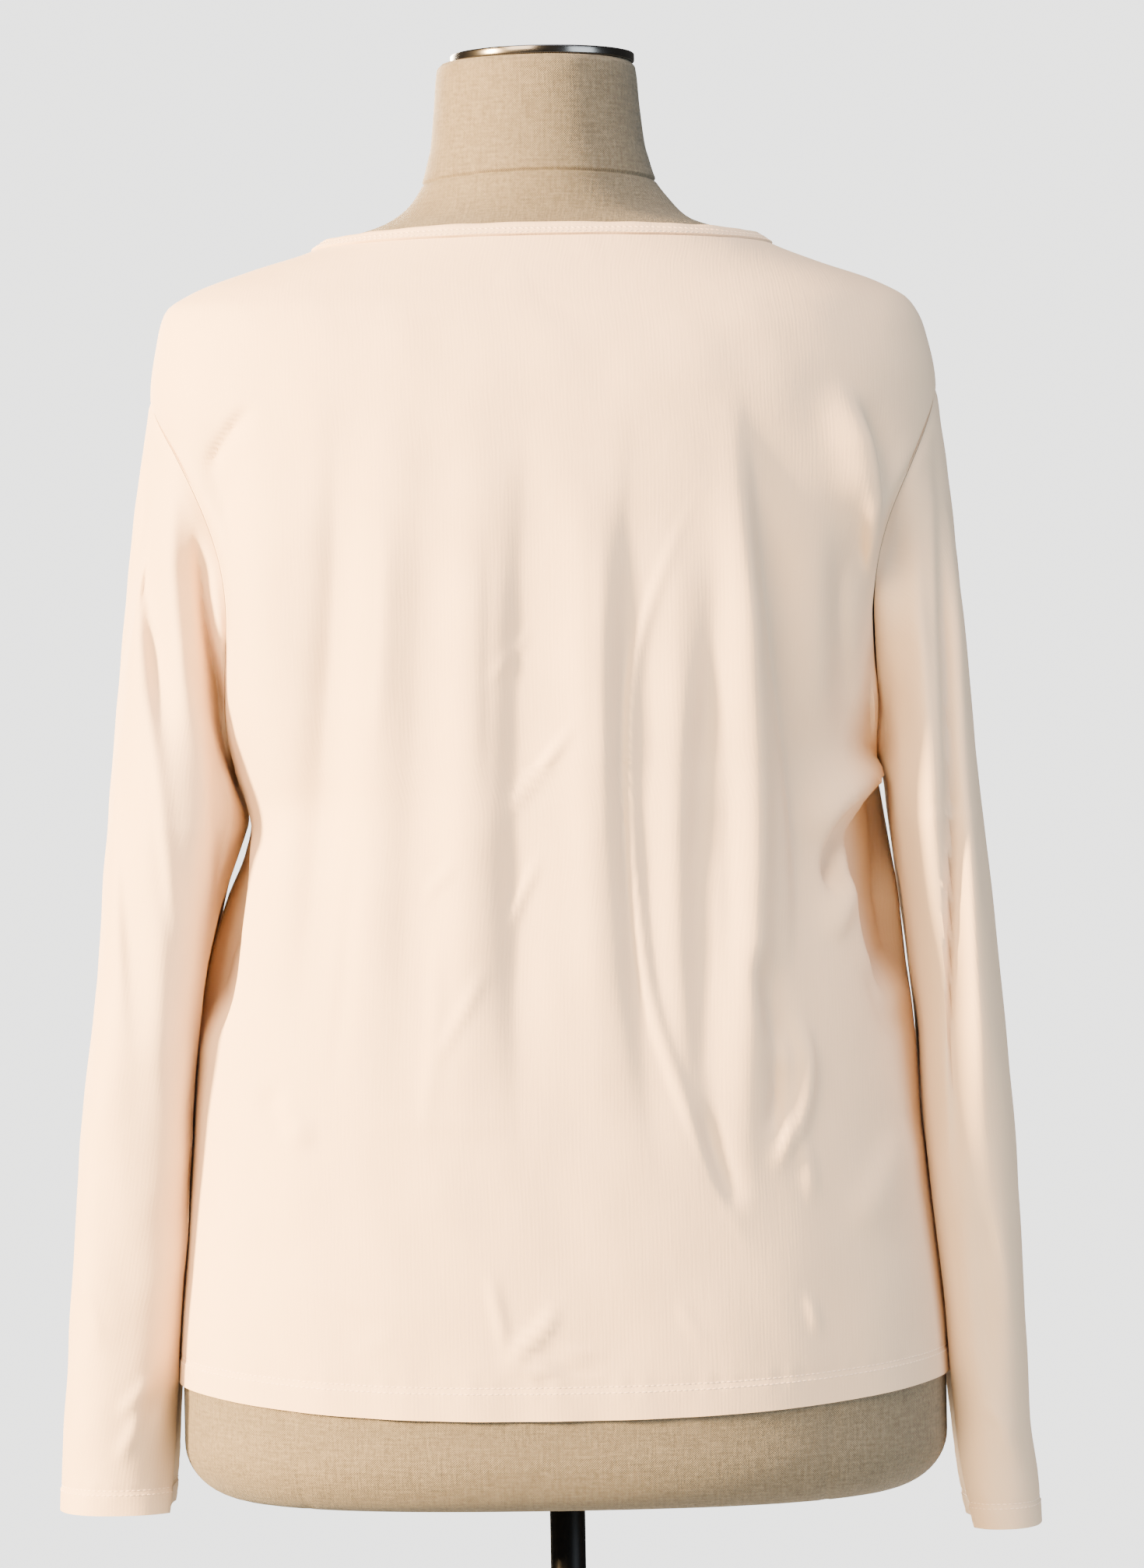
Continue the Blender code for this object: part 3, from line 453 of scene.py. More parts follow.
# Folds of the sleeves, on the side that faces the back and on the one that faces the front
LEFT_BACK_FOLDS = (
    fold(-11, 5, 10, (222, 1395), (221, 1340), (218, 1290), (213, 1245), (206, 1185)),
    fold(6, 8, 6, (204, 1360), (204, 1300), (200, 1250), (194, 1205)),
    fold(3, 2.6, 5, (220, 1245), (214, 1200), (209, 1150), (204, 1095)),
    fold(-6, 4.5, 11, (236, 1260), (234, 1190), (230, 1110), (227, 1030)),
    fold(3, 10, 6, (212, 1150), (214, 1080), (218, 1000)),
    # the side next to the body turns sharply in
    fold(4, 12, 2.4, (194, 1190), (194, 1140), (199, 1075), (205, 1010), (206, 950)),
    fold(-19, 2.6, 13, (188, 1250), (184, 1190), (185, 1140), (188, 1100), (194, 1055), (199, 1010),
         (201, 965), (204, 920), (208, 870)),
    fold(-2.2, 10, 10, (250, 1020), (246, 960), (244, 910)),
    fold(2.2, 3.4, 4.6, (222, 872), (232, 858), (244, 846)),
    fold(1.8, 3.2, 4.4, (228, 858), (235, 838), (246, 820)),
    fold(-1.6, 4, 4.6, (214, 880), (222, 858), (228, 836)),
    fold(1.4, 5, 4, (262, 930), (254, 905), (250, 880)),
)
LEFT_FRONT_FOLDS = (
    fold(-6, 12, 10, (215, 1340), (218, 1270), (214, 1190), (216, 1110)),
    fold(3.5, 9, 9, (235, 1280), (236, 1200), (232, 1110)),
    fold(-2.8, 9, 9, (240, 1080), (236, 1000), (240, 930)),
    fold(2.5, 5.5, 6, (262, 870), (248, 850), (236, 838)),
    fold(2.4, 6, 6, (228, 850), (240, 832), (256, 822)),
)
RIGHT_BACK_FOLDS = (
    fold(-12, 2.2, 8, (-208.5, 1400), (-209.5, 1350), (-210.5, 1290), (-210.8, 1220), (-211, 1150),
         (-211.2, 1080), (-212, 1010), (-213.6, 940)),
    # the side next to the body turns sharply in
    fold(-15, 12, 3, (-180, 1260), (-182, 1200), (-186, 1140), (-190, 1090), (-195, 1040), (-199, 990),
         (-203, 930)),
    fold(5.5, 8, 5, (-196, 1350), (-198, 1290), (-200, 1220), (-200.5, 1150), (-201.5, 1060)),
    fold(4.5, 11, 3.6, (-214, 1350), (-219, 1270), (-224, 1200), (-228.5, 1150), (-234, 1080),
         (-239.5, 1015), (-244, 960)),
    fold(3.5, 9, 7, (-220, 1200), (-222, 1110), (-224, 1030), (-228, 950)),
    fold(1.4, 4, 5, (-232, 960), (-238, 920), (-240, 880)),
    fold(-1.8, 6, 8, (-222, 960), (-226, 900), (-230, 850)),
    fold(1.4, 3.4, 4.6, (-226, 850), (-236, 836), (-248, 828)),
    fold(1.2, 3.4, 4.6, (-250, 812), (-240, 822), (-232, 838)),
)
RIGHT_FRONT_FOLDS = (
    fold(-6, 10, 12, (-208, 1345), (-212, 1280), (-208, 1190), (-211, 1110)),
    fold(3.5, 9, 9, (-226, 1270), (-227, 1190), (-224, 1100)),
    fold(-2.8, 9, 9, (-228, 1070), (-225, 990), (-229, 920)),
    fold(2.4, 6, 6, (-246, 862), (-236, 846), (-226, 838)),
    fold(2.2, 6, 6, (-222, 842), (-232, 826), (-246, 816)),
)


def curve_at(places, values, slopes, wanted):
    """The curve that passes through values with the given slopes, read at the wanted places."""
    row = np.clip(np.searchsorted(places, wanted, side="right") - 1, 0, len(places) - 2)
    width, t = places[row + 1] - places[row], wanted - places[row]
    if values.ndim > 1:
        width, t = width[:, None], t[:, None]
    t = t / width
    start = values[row] * (1 + 2 * t) * (1 - t) ** 2 + slopes[row] * width * t * (1 - t) ** 2
    end = values[row + 1] * t**2 * (3 - 2 * t) - slopes[row + 1] * width * t**2 * (1 - t)
    return start + end


def smooth_curve(places, values, wanted):
    """Values of the smooth curve through the rows of a table, with no overshoot, at the wanted places."""
    rise = np.diff(values) / np.diff(places)
    slopes = np.concatenate([rise[:1], np.zeros(len(rise) - 1), rise[-1:]])
    same = rise[1:] * rise[:-1] > 0
    slopes[1:-1][same] = 2 * rise[1:][same] * rise[:-1][same] / (rise[1:] + rise[:-1])[same]
    return curve_at(places, values, slopes, wanted)


def rows_at(table, heights):
    """The columns of a table, read at the given heights."""
    rows = sorted(table)
    places = np.array([row.height for row in rows])
    columns = [smooth_curve(places, np.array(column, float), heights) for column in zip(*rows)]
    return type(rows[0])(*columns)


def on_rings(rings, angles):
    """Points on the rings: 0 is the centre back and a quarter turn the left side seam."""
    sine, cosine = np.sin(angles), np.cos(angles)
    power = 2 / rings.square[:, None]
    side = np.where(sine > 0, rings.left[:, None], rings.right[:, None])
    depth = np.where(cosine > 0, rings.back[:, None], rings.front[:, None])
    drop = np.where(cosine > 0, rings.back_drop[:, None], rings.front_drop[:, None])
    x = side * np.sign(sine) * np.abs(sine) ** power
    y = depth * np.sign(cosine) * np.abs(cosine) ** power
    return np.stack([x, y, rings.height[:, None] - drop * cosine**2], axis=-1)


def even_angles(rings, start, end, shares):
    """Angles at the given shares of the length of cloth on each ring."""
    fine = start[:, None] + (end - start)[:, None] * np.linspace(0, 1, FINE_STEPS)
    steps = np.linalg.norm(np.diff(on_rings(rings, fine), axis=1), axis=-1)
    lengths = np.pad(np.cumsum(steps, axis=1), ((0, 0), (1, 0)))
    return np.array([np.interp(shares * row[-1], row, angles) for row, angles in zip(lengths, fine)])


def even_heights(low, high, rows):
    """Heights between two levels, an equal length of cloth apart."""
    fine = np.linspace(low, high, FINE_STEPS)
    rings = rows_at(SHIRT_RINGS, fine)
    side = np.hypot(np.diff(rings.left), np.diff(fine))
    back = np.hypot(np.diff(rings.back), np.diff(fine - rings.back_drop))
    lengths = np.concatenate([[0], np.cumsum(side + back)])
    return np.interp(np.linspace(0, lengths[-1], rows + 1), lengths, fine)


def lengths_along(line):
    """The length along a line of points to each of them."""
    return np.concatenate([[0], np.cumsum(np.linalg.norm(np.diff(line, axis=0), axis=1))])


def unit(vectors):
    """The same directions, one metre long."""
    return vectors / np.linalg.norm(vectors, axis=-1, keepdims=True)


def normals_of(grid, closed=False):
    """Unit normals of a grid of points that face away from its inside."""
    if closed:
        across = np.roll(grid, -1, axis=1) - np.roll(grid, 1, axis=1)
    else:
        across = np.gradient(grid, axis=1)
    return unit(np.cross(np.gradient(grid, axis=0), across))


def smooth_step(value):
    """0 up to 1 with soft ends."""
    value = np.clip(value, 0, 1)
    return value**2 * (3 - 2 * value)


def bell(distance, reach):
    """1 at no distance, and almost 0 at twice the reach."""
    return np.exp(-((distance / reach) ** 2))


def smooth_path(points):
    """A path through the points with no corner at any of them."""
    lengths = lengths_along(points)
    slopes = np.gradient(points, lengths, axis=0)
    return curve_at(lengths, points, slopes, np.linspace(0, lengths[-1], PATH_STEPS))


def fold_height(folds, across, up):
    """How far the folds move the cloth at each place, across and up."""
    total = np.zeros(across.shape)
    for crease in folds:
        path = smooth_path(crease.path)
        reach = FOLD_LIMIT * max(crease.left, crease.right)
        low, high = path.min(axis=0) - reach, path.max(axis=0) + reach
        near = (across > low[0]) & (across < high[0]) & (up > low[1]) & (up < high[1])
        if not near.any():
            continue
        spots = np.column_stack([across[near], up[near]])[:, None]
        start, run = path[:-1], np.diff(path, axis=0)
        t = np.clip(np.sum((spots - start) * run, axis=-1) / np.sum(run * run, axis=-1), 0, 1)
        apart = spots - start - t[..., None] * run
        gaps = np.linalg.norm(apart, axis=-1)
        nearest = gaps.argmin(axis=1)
        spot = np.arange(len(spots))
        gap = gaps[spot, nearest]
        downward = np.where(run[nearest, 1] < 0, 1, -1)
        side = run[nearest, 0] * apart[spot, nearest, 1] - run[nearest, 1] * apart[spot, nearest, 0]
        side *= downward
        share = (nearest + t[spot, nearest]) / len(run)
        fade = smooth_step(share / FOLD_FADE) * smooth_step((1 - share) / FOLD_FADE)
        # a fold sinks to nothing towards both its ends instead of stopping
        total[near] += crease.height * fade * bell(gap, np.where(side > 0, crease.left, crease.right))
    return total


def crease_shift(points):
    """How far the creases at the armholes move points of the back straight forward."""
    depth = fold_height(ARMHOLE_CREASES, points[..., 0], points[..., 2])
    return depth * smooth_step((points[..., 1] - CREASE_START) / CREASE_FADE)


def soft_waves(across, up, seed, height, length):
    """The slight unevenness that worn jersey has even where it lies smooth."""
    chance = np.random.default_rng(seed)
    total = np.zeros(across.shape)
    for _ in range(WAVES):
        turn = chance.uniform(0, pi)
        size = length * chance.uniform(*WAVE_SIZES)
        phase = chance.uniform(0, 2 * pi)
        total += np.sin(2 * pi * (across * cos(turn) + up * sin(turn) * WAVE_STRETCH) / size + phase)
    return total * height / WAVES**0.5


def hem_relief(up, across, depth):
    """A turned hem: the doubled cloth stands out, its stitching draws it in, and it puckers between."""
    doubled = HEM_LIFT * (1 - smooth_step((up - depth) / HEM_STEP))
    drawn = STITCH_PULL * bell(up - depth + TOP_ROW, STITCH_PULL_REACH)
    short, long = PUCKER_LENGTHS
    pucker = PUCKER * np.sin(across / short) * np.sin(across / long + 1) * bell(up - depth, PUCKER_REACH)
    return doubled - drawn + pucker


def armhole_edge(heights):
    """Angle of the armhole's edge at each height."""
    share = np.clip((heights - UNDERARM) / (ARMHOLE_TOP - UNDERARM), 0, 1)
    return pi / 2 - ARMHOLE_SPREAD * np.sin(pi * share) ** ARMHOLE_SQUARENESS


def panel_levels():
    """Heights of the rows of a panel, close together at the hem."""
    hem = HEM + HEM_ZONE * np.linspace(0, 1, HEM_ROWS + 1)
    body = even_heights(HEM + HEM_ZONE, UNDERARM, BODY_ROWS - HEM_ROWS)
    fine = np.linspace(UNDERARM, ARMHOLE_TOP, FINE_STEPS)
    edge = on_rings(rows_at(SHIRT_RINGS, fine), armhole_edge(fine)[:, None])[:, 0]
    lengths = lengths_along(edge)
    armhole = np.interp(np.linspace(0, lengths[-1], ARMHOLE_ROWS + 1), lengths, fine)
    shoulder = even_heights(ARMHOLE_TOP, NECK_SEAM, SHOULDER_ROWS)
    return np.concatenate([hem, body[1:], armhole[1:], shoulder[1:]])


def slack_at(rings, angles):
    """Room between the cloth and the form around each ring."""
    depth = np.where(np.cos(angles) > 0, rings.slack_back[:, None], rings.slack_front[:, None])
    return depth + (rings.slack_side[:, None] - depth) * np.sin(angles) ** 4


def seam_shares(columns):
    """Shares of a panel's width for its columns, with a few more beside each seam."""
    first, second = SEAM_COLUMNS
    inner = np.linspace(0, 1, columns - 3)[1:-1]
    return np.concatenate([[0, first, second], inner, [1 - second, 1 - first, 1]])


def panel_angles(facing, shares):
    """The rings of a panel, and the angles of its points on them."""
    levels = panel_levels()
    rings = rows_at(SHIRT_RINGS, levels)
    edge = armhole_edge(levels)
    return rings, even_angles(rings, facing - edge, facing + edge, shares)


def panel_grid(facing, columns, folds, seed):
    """Inner face of the back panel, facing 0, or the front one, facing a half turn, and its cloth lengths."""
    shares = seam_shares(columns)
    rings, angles = panel_angles(facing, shares)
    levels = rings.height
    grid = on_rings(rings, angles)
    lengths = cloth_lengths(grid)
    slack = slack_at(rings, angles)
    calm = smooth_step(shares / PANEL_CALM) * smooth_step((1 - shares) / PANEL_CALM)
    across, up = grid[..., 0], grid[..., 2]
    height = (fold_height(folds, across, up) + soft_waves(across, up, seed, *PANEL_WAVES)) * calm
    height += hem_relief(levels[:, None] - HEM, lengths[..., 0], HEM_DEPTH) - HEM_LIFT
    edge = np.minimum(lengths[..., 0] - lengths[:, :1, 0], lengths[:, -1:, 0] - lengths[..., 0])
    height -= SEAM_ROLL * bell(edge, SEAM_ROLL_REACH)
    height = np.maximum(height, FORM_GAP - slack)
    normals = normals_of(grid)
    # the sleeve pulls the cloth straight in, away from the eye, along the lower half of each armhole
    onward = np.cos(facing)
    low, high = ARMHOLE_PULL
    pulled = smooth_step((up - low) / ARMHOLE_PULL_FADE[0]) * smooth_step((high - up) / ARMHOLE_PULL_FADE[1])
    room = (slack + height - FORM_GAP) / np.maximum(normals[..., 1] * onward, LEAST_FACING)
    sink = np.minimum(ARMHOLE_SINK * pulled * bell(edge, ARMHOLE_SINK_REACH), room)
    grid += normals * height[..., None]
    grid[..., 1] -= onward * sink
    for edge_column, next_column in ((0, 1), (-1, -2)):
        inward = unit(grid[:, next_column] - grid[:, edge_column])
        grid[:, edge_column] += inward * SEAM_GAP / 2
    return grid, lengths


def cloth_lengths(grid):
    """Lengths along the cloth to each point of a grid: across from its middle, and up from its first row."""
    across = np.linalg.norm(np.diff(grid, axis=1), axis=-1)
    across = np.pad(np.cumsum(across, axis=1), ((0, 0), (1, 0)))
    across -= across[:, [across.shape[1] // 2]]
    up = np.linalg.norm(np.diff(grid, axis=0), axis=-1).mean(axis=1)
    up = np.concatenate([[0], np.cumsum(up)])
    return np.stack([across, np.repeat(up[:, None], grid.shape[1], 1)], axis=-1)


def armhole_loops(back, front):
    """Points and outward directions around each armhole, from its top down and round to the top again."""
    low, high = BODY_ROWS, BODY_ROWS + ARMHOLE_ROWS
    shares = np.linspace(0, 1, EDGE_COLUMNS)
    back_out, front_out = (normals_of(on_rings(*panel_angles(facing, shares))) for facing in (0, pi))
    loops = {}
    for side, edges in (("left", ((back, back_out, -1), (front, front_out, 0))),
                        ("right", ((front, front_out, -1), (back, back_out, 0)))):
        columns = [(grid[low : high + 1, column][::-1], out[low : high + 1, column][::-1])
                   for grid, out, column in edges]
        loop = []
        for one, other in zip(*columns):
            ends = (one[[0, -1]] + other[[0, -1]]) / 2
            loop.append(np.concatenate([ends[:1], one[1:-1], ends[1:], other[-2:0:-1]]))
        loops[side] = (loop[0], unit(loop[1]))
    return loops


def body_side(side, heights, y):
    """How far out the inner face of the body's cloth reaches at each height and each depth y."""
    rings = rows_at(SHIRT_RINGS, heights)
    half = (rings.left if side > 0 else rings.right)[:, None]
    depth = np.where(y > 0, rings.back[:, None], rings.front[:, None])
    square = rings.square[:, None]
    return half * (1 - np.minimum(np.abs(y) / depth, 1) ** square) ** (1 / square)


def around_tube(tubes, angles):
    """The two distances from a sleeve's middle line, sideways and forward, at angles round it."""
    power = 2 / tubes.square[:, None]
    wide, deep = (tubes.outer - tubes.inner)[:, None] / 2, tubes.deep[:, None] / 2
    x = wide * np.sign(np.cos(angles)) * np.abs(np.cos(angles)) ** power
    return x, deep * np.sign(np.sin(angles)) * np.abs(np.sin(angles)) ** power


def sleeve_rings(table, side, heights, columns):
    """Rings of a sleeve's outer face. side is 1 for the left sleeve and -1 for the right one."""
    tubes = rows_at(table, heights)
    half = np.linspace(0, pi, FINE_STEPS)
    x, y = around_tube(tubes, half)
    lengths = np.pad(np.cumsum(np.hypot(np.diff(x), np.diff(y)), axis=1), ((0, 0), (1, 0)))
    shares = np.linspace(0, 1, columns // 2 + 1)
    angles = np.array([np.interp(shares * row[-1], row, half) for row in lengths])
    angles = np.concatenate([angles, 2 * pi - angles[:, -2:0:-1]], axis=1)
    x, y = around_tube(tubes, angles)
    x += (tubes.outer + tubes.inner)[:, None] / 2
    y = side * y + tubes.middle[:, None]
    x = np.maximum(x, body_side(side, heights, y) + JERSEY + SLEEVE_CLEAR)
    return np.stack([side * x, y, np.repeat(tubes.height[:, None], columns, 1)], -1)


def sleeve_head(start, tube, into, outward, puff):
    """Rows of cloth from the armhole to the tube of the sleeve, which leave it along its two directions."""
    share = ((start[:, 2] - UNDERARM) / (ARMHOLE_TOP - UNDERARM))[:, None]
    leave = into * share + outward * (UNDERARM_PUFF + (puff - UNDERARM_PUFF) * share)
    leave = unit(leave + np.array([0, 0, -UNDERARM_DROP]) * (1 - share))
    reach = np.linalg.norm(tube[0] - start, axis=-1, keepdims=True) / 3
    rise = unit(tube[0] - tube[HEAD_LEAD])
    first, second = start + leave * reach, tube[0] + rise * reach
    steps = np.linspace(0, 1, SLEEVE_HEAD_ROWS + 1)[:-1, None, None] ** HEAD_SPACING
    head = ((1 - steps) ** 3 * start + 3 * (1 - steps) ** 2 * steps * first
            + 3 * (1 - steps) * steps**2 * second + steps**3 * tube[0])
    for row in range(1, len(head)):
        # the crease that the armhole's pointed top would send down the sleeve is rubbed out
        reach = HEAD_SMOOTHING * min(row / HEAD_SMOOTHING_ROWS, 1)
        spread = [(step, bell(step, reach)) for step in range(-HEAD_SPREAD, HEAD_SPREAD + 1)]
        head[row] = sum(np.roll(head[row], step, axis=0) * share for step, share in spread)
        head[row] /= sum(share for step, share in spread)
    return head


def sleeve_grid(table, side, loop, back_folds, front_folds, puff, seed):
    """Outer face of a sleeve, from the armhole down to the cuff, and its cloth lengths."""
    points, outward = loop
    columns = len(points)
    into = points.mean(axis=0) - points
    into = unit(into - outward * np.sum(into * outward, axis=-1, keepdims=True))
    start = points + outward * JERSEY + into * SLEEVE_GAP
    cuff = table[-1].height
    heights = np.concatenate([np.linspace(table[0].height, cuff + HEM_ZONE, SLEEVE_ROWS + 1),
                              cuff + HEM_ZONE * np.linspace(1, 0, CUFF_ROWS + 1)[1:]])
    tube = sleeve_rings(table, side, heights, columns)
    grid = np.concatenate([sleeve_head(start, tube, into, outward, puff), tube])
    facing = np.sin(2 * pi * np.arange(columns) / columns) * side
    across, up = grid[..., 0], grid[..., 2]
    push = fold_height(back_folds, across, up) * smooth_step(facing / FACING_EDGE)
    push -= fold_height(front_folds, across, up) * smooth_step(-facing / FACING_EDGE)
    turned = np.abs(normals_of(grid, closed=True)[..., 1])
    push *= smooth_step((turned - SLEEVE_TURN[0]) / SLEEVE_TURN[1])
    lengths = cloth_lengths(grid)
    fallen = np.concatenate([np.zeros((1, columns)),
                             np.cumsum(np.linalg.norm(np.diff(grid, axis=0), axis=-1), axis=0)])
    calm = smooth_step(fallen / SLEEVE_CALM)
    height = soft_waves(lengths[..., 0], up, seed, *SLEEVE_WAVES) * calm
    height += SEAM_ROLL * (1 - bell(fallen, SEAM_ROLL_REACH))
    height += hem_relief(up - cuff, lengths[..., 0], CUFF_DEPTH)
    grid += normals_of(grid, closed=True) * height[..., None]
    grid[..., 1] += push * calm
    shift = crease_shift(grid)
    # the first row stays on the panel's edge
    shift += (crease_shift(points) - shift[0]) * bell(fallen, CREASE_SEAM_REACH)
    grid[..., 1] += shift
    return grid, lengths


def all_round(rings, columns):
    """Angles once round each ring, an equal length of cloth apart."""
    half = pi * np.ones(len(rings.height))
    return even_angles(rings, -half, half, np.linspace(0, 1, columns + 1))[:, :-1]


def form_grid():
    """Skin of the dress form, from its flat bottom to the top of its neck, with its seams drawn in."""
    low = HEM + FORM_SEAM_RISE
    levels = np.concatenate([np.linspace(HEM, low, FORM_HEM_ROWS),
                             np.linspace(low, NECK_SEAM, FORM_BODY_ROWS)[1:], [NECK_EDGE]])
    rings = rows_at(SHIRT_RINGS, levels)
    angles = all_round(rings, FORM_COLUMNS)
    grid = on_rings(rings, angles)
    grid -= normals_of(grid, closed=True) * slack_at(rings, angles)[..., None]
    hem = grid[0]
    corner = []
    for turn in np.linspace(0, pi / 2, FORM_CORNER_ROWS):
        shrink = 1 - FORM_CORNER_WIDE * (1 - np.sin(turn)) / hem[:, :2].max()
        high = FORM_BOTTOM + FORM_CORNER_HIGH * (1 - np.cos(turn))
        corner.append(np.column_stack([hem[:, :2] * shrink, np.full(len(hem), high)]))
    side = [corner[-1] + (hem - corner[-1]) * share for share in np.linspace(0, 1, FORM_SIDE_ROWS)[1:-1]]
    neck_rows = sorted(NECK_RINGS + (SHIRT_RINGS[-1],))
    low, high = NECK_LINE - NECK_LINE_BELOW, NECK_LINE + NECK_LINE_ABOVE
    heights = np.concatenate([np.linspace(NECK_EDGE, low, NECK_BASE_ROWS)[1:-1],
                              np.linspace(low, high, NECK_LINE_ROWS),
                              np.linspace(high, NECK_TURN, NECK_SIDE_ROWS)[1:],
                              np.linspace(NECK_TURN, NECK_TOP, NECK_TURN_ROWS)[1:]])
    neck = on_rings(rows_at(neck_rows, heights), np.tile(angles[-1], (len(heights), 1)))
    grid = np.concatenate([corner, side, grid, neck])
    lengths = cloth_lengths(grid)
    relief = np.zeros(grid.shape[:2])
    below = (grid[..., 2] < HEM + FORM_SEAM_RISE) & (grid[..., 1] != 0)
    for across, slant in FORM_SEAMS:
        seam = across + (grid[..., 2] - FORM_SEAM_MIDDLE) * slant
        relief -= np.where(below, FORM_SEAM_DEPTH * bell(grid[..., 0] - seam, FORM_SEAM_REACH), 0)
    # the neck's own piece of linen laps over the body's, along a seam that dips towards the sides
    above = grid[..., 2] - NECK_LINE + NECK_LINE_DIP * grid[..., 0] ** 2
    lap = smooth_step(above / NECK_LAP_STEP) * (1 - smooth_step((above - NECK_LAP_WIDTH) / NECK_LAP_WIDTH))
    relief += NECK_LAP * lap - NECK_GROOVE * bell(above, NECK_GROOVE)
    return grid + normals_of(grid, closed=True) * relief[..., None], lengths


def binding_grid():
    """Inner face of the bound neck edge, from just above the seam up to the open edge."""
    levels = np.linspace(NECK_SEAM, NECK_EDGE, BINDING_ROWS + 1)
    rings = rows_at(SHIRT_RINGS, levels)
    angles = all_round(rings, BACK_COLUMNS + FRONT_COLUMNS)
    grid = on_rings(rings, angles)
    grid[0] += unit(grid[1] - grid[0]) * BINDING_GAP
    share = np.linspace(0, 1, BINDING_ROWS + 1)[:, None]
    around = angles * NECK_RADIUS
    short, long = BINDING_RIPPLE_LENGTHS
    relief = BINDING_RIPPLE * np.sin(around / short) * np.sin(around / long) * share
    for height, place, sway, length, phase, reach in BINDING_RIDGES:
        relief += height * bell(share - place - sway * np.sin(around / length + phase), reach)
    lengths = cloth_lengths(grid)
    return grid + normals_of(grid, closed=True) * (FORM_GAP / 2 + relief)[..., None], lengths


def shell_mesh(name, grid, lengths, closed=False):
    """A mesh between the rows of a grid, with the lengths along its uncreased cloth as its UV map."""
    rows, columns = grid.shape[:2]
    width = columns if closed else columns - 1
    row, column = np.meshgrid(np.arange(rows - 1), np.arange(width), indexing="ij")
    row, column = row.ravel(), column.ravel()
    corners = ((row, column), (row + 1, column), (row + 1, column + 1), (row, column + 1))
    faces = np.column_stack([r * columns + c % columns for r, c in corners])
    mesh = bpy.data.meshes.new(name)
    mesh.from_pydata(grid.reshape(-1, 3), [], faces.tolist())
    if closed:
        gap = np.linalg.norm(grid[:, :1] - grid[:, -1:], axis=-1)
        last = np.stack([lengths[:, -1:, 0] + gap, lengths[:, -1:, 1]], axis=-1)
        lengths = np.concatenate([lengths, last], axis=1)
    places = np.stack([lengths[r, c] for r, c in corners], axis=1)
    mesh.uv_layers.new(name="Cloth").uv.foreach_set("vector", places.astype(np.float32).ravel())
    return mesh


def add_piece(name, mesh, finish):
    """Puts a mesh into the scene as a piece of the part, smooth except across its sharp edges."""
    mesh.materials.clear()
    mesh.materials.append(finish)
    mesh.shade_smooth()
    mesh.set_sharp_from_angle(angle=PIECE_SHARP)
    piece = bpy.data.objects.new(name, mesh)
    bpy.context.scene.collection.objects.link(piece)
    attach(piece, "root")
    return piece


def select_only(piece):
    """Selects one piece and makes it the active one."""
    bpy.ops.object.select_all(action="DESELECT")
    piece.select_set(True)
    bpy.context.view_layer.objects.active = piece


def apply_modifiers(piece):
    """Makes a piece's modifiers part of its mesh."""
    select_only(piece)
    for modifier in list(piece.modifiers):
        bpy.ops.object.modifier_apply(modifier=modifier.name)


def cloth(name, grid, lengths, finish, thickness, outward, closed=False):
    """A sewn piece of jersey: its grid of points given a thin wall, outward or inward from it."""
    piece = add_piece(name, shell_mesh(name, grid, lengths, closed), finish)
    wall = piece.modifiers.new("Cloth wall", "SOLIDIFY")
    wall.thickness = thickness
    wall.offset = 1 if outward else -1
    wall.use_even_offset = False
    wall.use_quality_normals = True
    apply_modifiers(piece)
    piece.data.shade_smooth()
    piece.data.set_sharp_from_angle(angle=CLOTH_SHARP)
    return piece


def line_on_cloth(grid, normals, row, closed):
    """Places and outward normals along one row of a grid, where row may lie between two rows."""
    low = int(row)
    share = row - low
    line = grid[low] * (1 - share) + grid[min(low + 1, len(grid) - 1)] * share
    facing = normals[low] * (1 - share) + normals[min(low + 1, len(grid) - 1)] * share
    if closed:
        line, facing = np.vstack([line, line[:1]]), np.vstack([facing, facing[:1]])
    return line, facing


def one_stitch():
    """The shape of a single stitch: a short thread with round ends, along X."""
    bpy.ops.object.select_all(action="DESELECT")
    bpy.ops.mesh.primitive_uv_sphere_add(segments=6, ring_count=5, radius=1)
    bead = bpy.context.object
    bead.data.transform(Matrix.Rotation(pi / 2, 4, "Y"))
    bead.data.transform(Matrix.Diagonal((STITCH_LENGTH / 2, STITCH_WIDTH / 2, STITCH_HIGH / 2, 1)))
    mesh = bead.data
    bpy.data.objects.remove(bead)
    return mesh


def stitch_row(shape, stitch, line, facing, lift, slant):
    """Adds stitches to a bmesh, one a step along a line on the cloth."""
    lengths = lengths_along(line)
    count = int(lengths[-1] / STITCH_STEP)
    middles = (np.arange(count) + 0.5) * lengths[-1] / count
    wanted = ((line, middles), (line, middles + STITCH_STEP / 4), (facing, middles))
    here, ahead, up = (np.column_stack([np.interp(at, lengths, column) for column in values.T])
                       for values, at in wanted)
    for place, front, out in zip(here, ahead, up):
        out = Vector(out).normalized()
        run = (Vector(front) - Vector(place)).normalized()
        side = out.cross(run).normalized()
        run = (run + side * slant).normalized()
        side = out.cross(run).normalized()
        turn = Matrix((run, side, out)).transposed().to_4x4()
        turn.translation = Vector(place) + out * lift
        copy = stitch.copy()
        copy.transform(turn)
        shape.from_mesh(copy)
        bpy.data.meshes.remove(copy)


def thread_piece(name, rows, finish, stitch):
    """All the stitches of one seam as one piece. rows is a list of line, facing, lift and slant."""
    shape = bmesh.new()
    for line, facing, lift, slant in rows:
        stitch_row(shape, stitch, line, facing, lift, slant)
    mesh = bpy.data.meshes.new(name)
    shape.to_mesh(mesh)
    shape.free()
    return add_piece(name, mesh, finish)


def row_of(levels, height):
    """Where a height falls among the rows of a grid, between two rows if need be."""
    return float(np.interp(height, levels, np.arange(len(levels))))


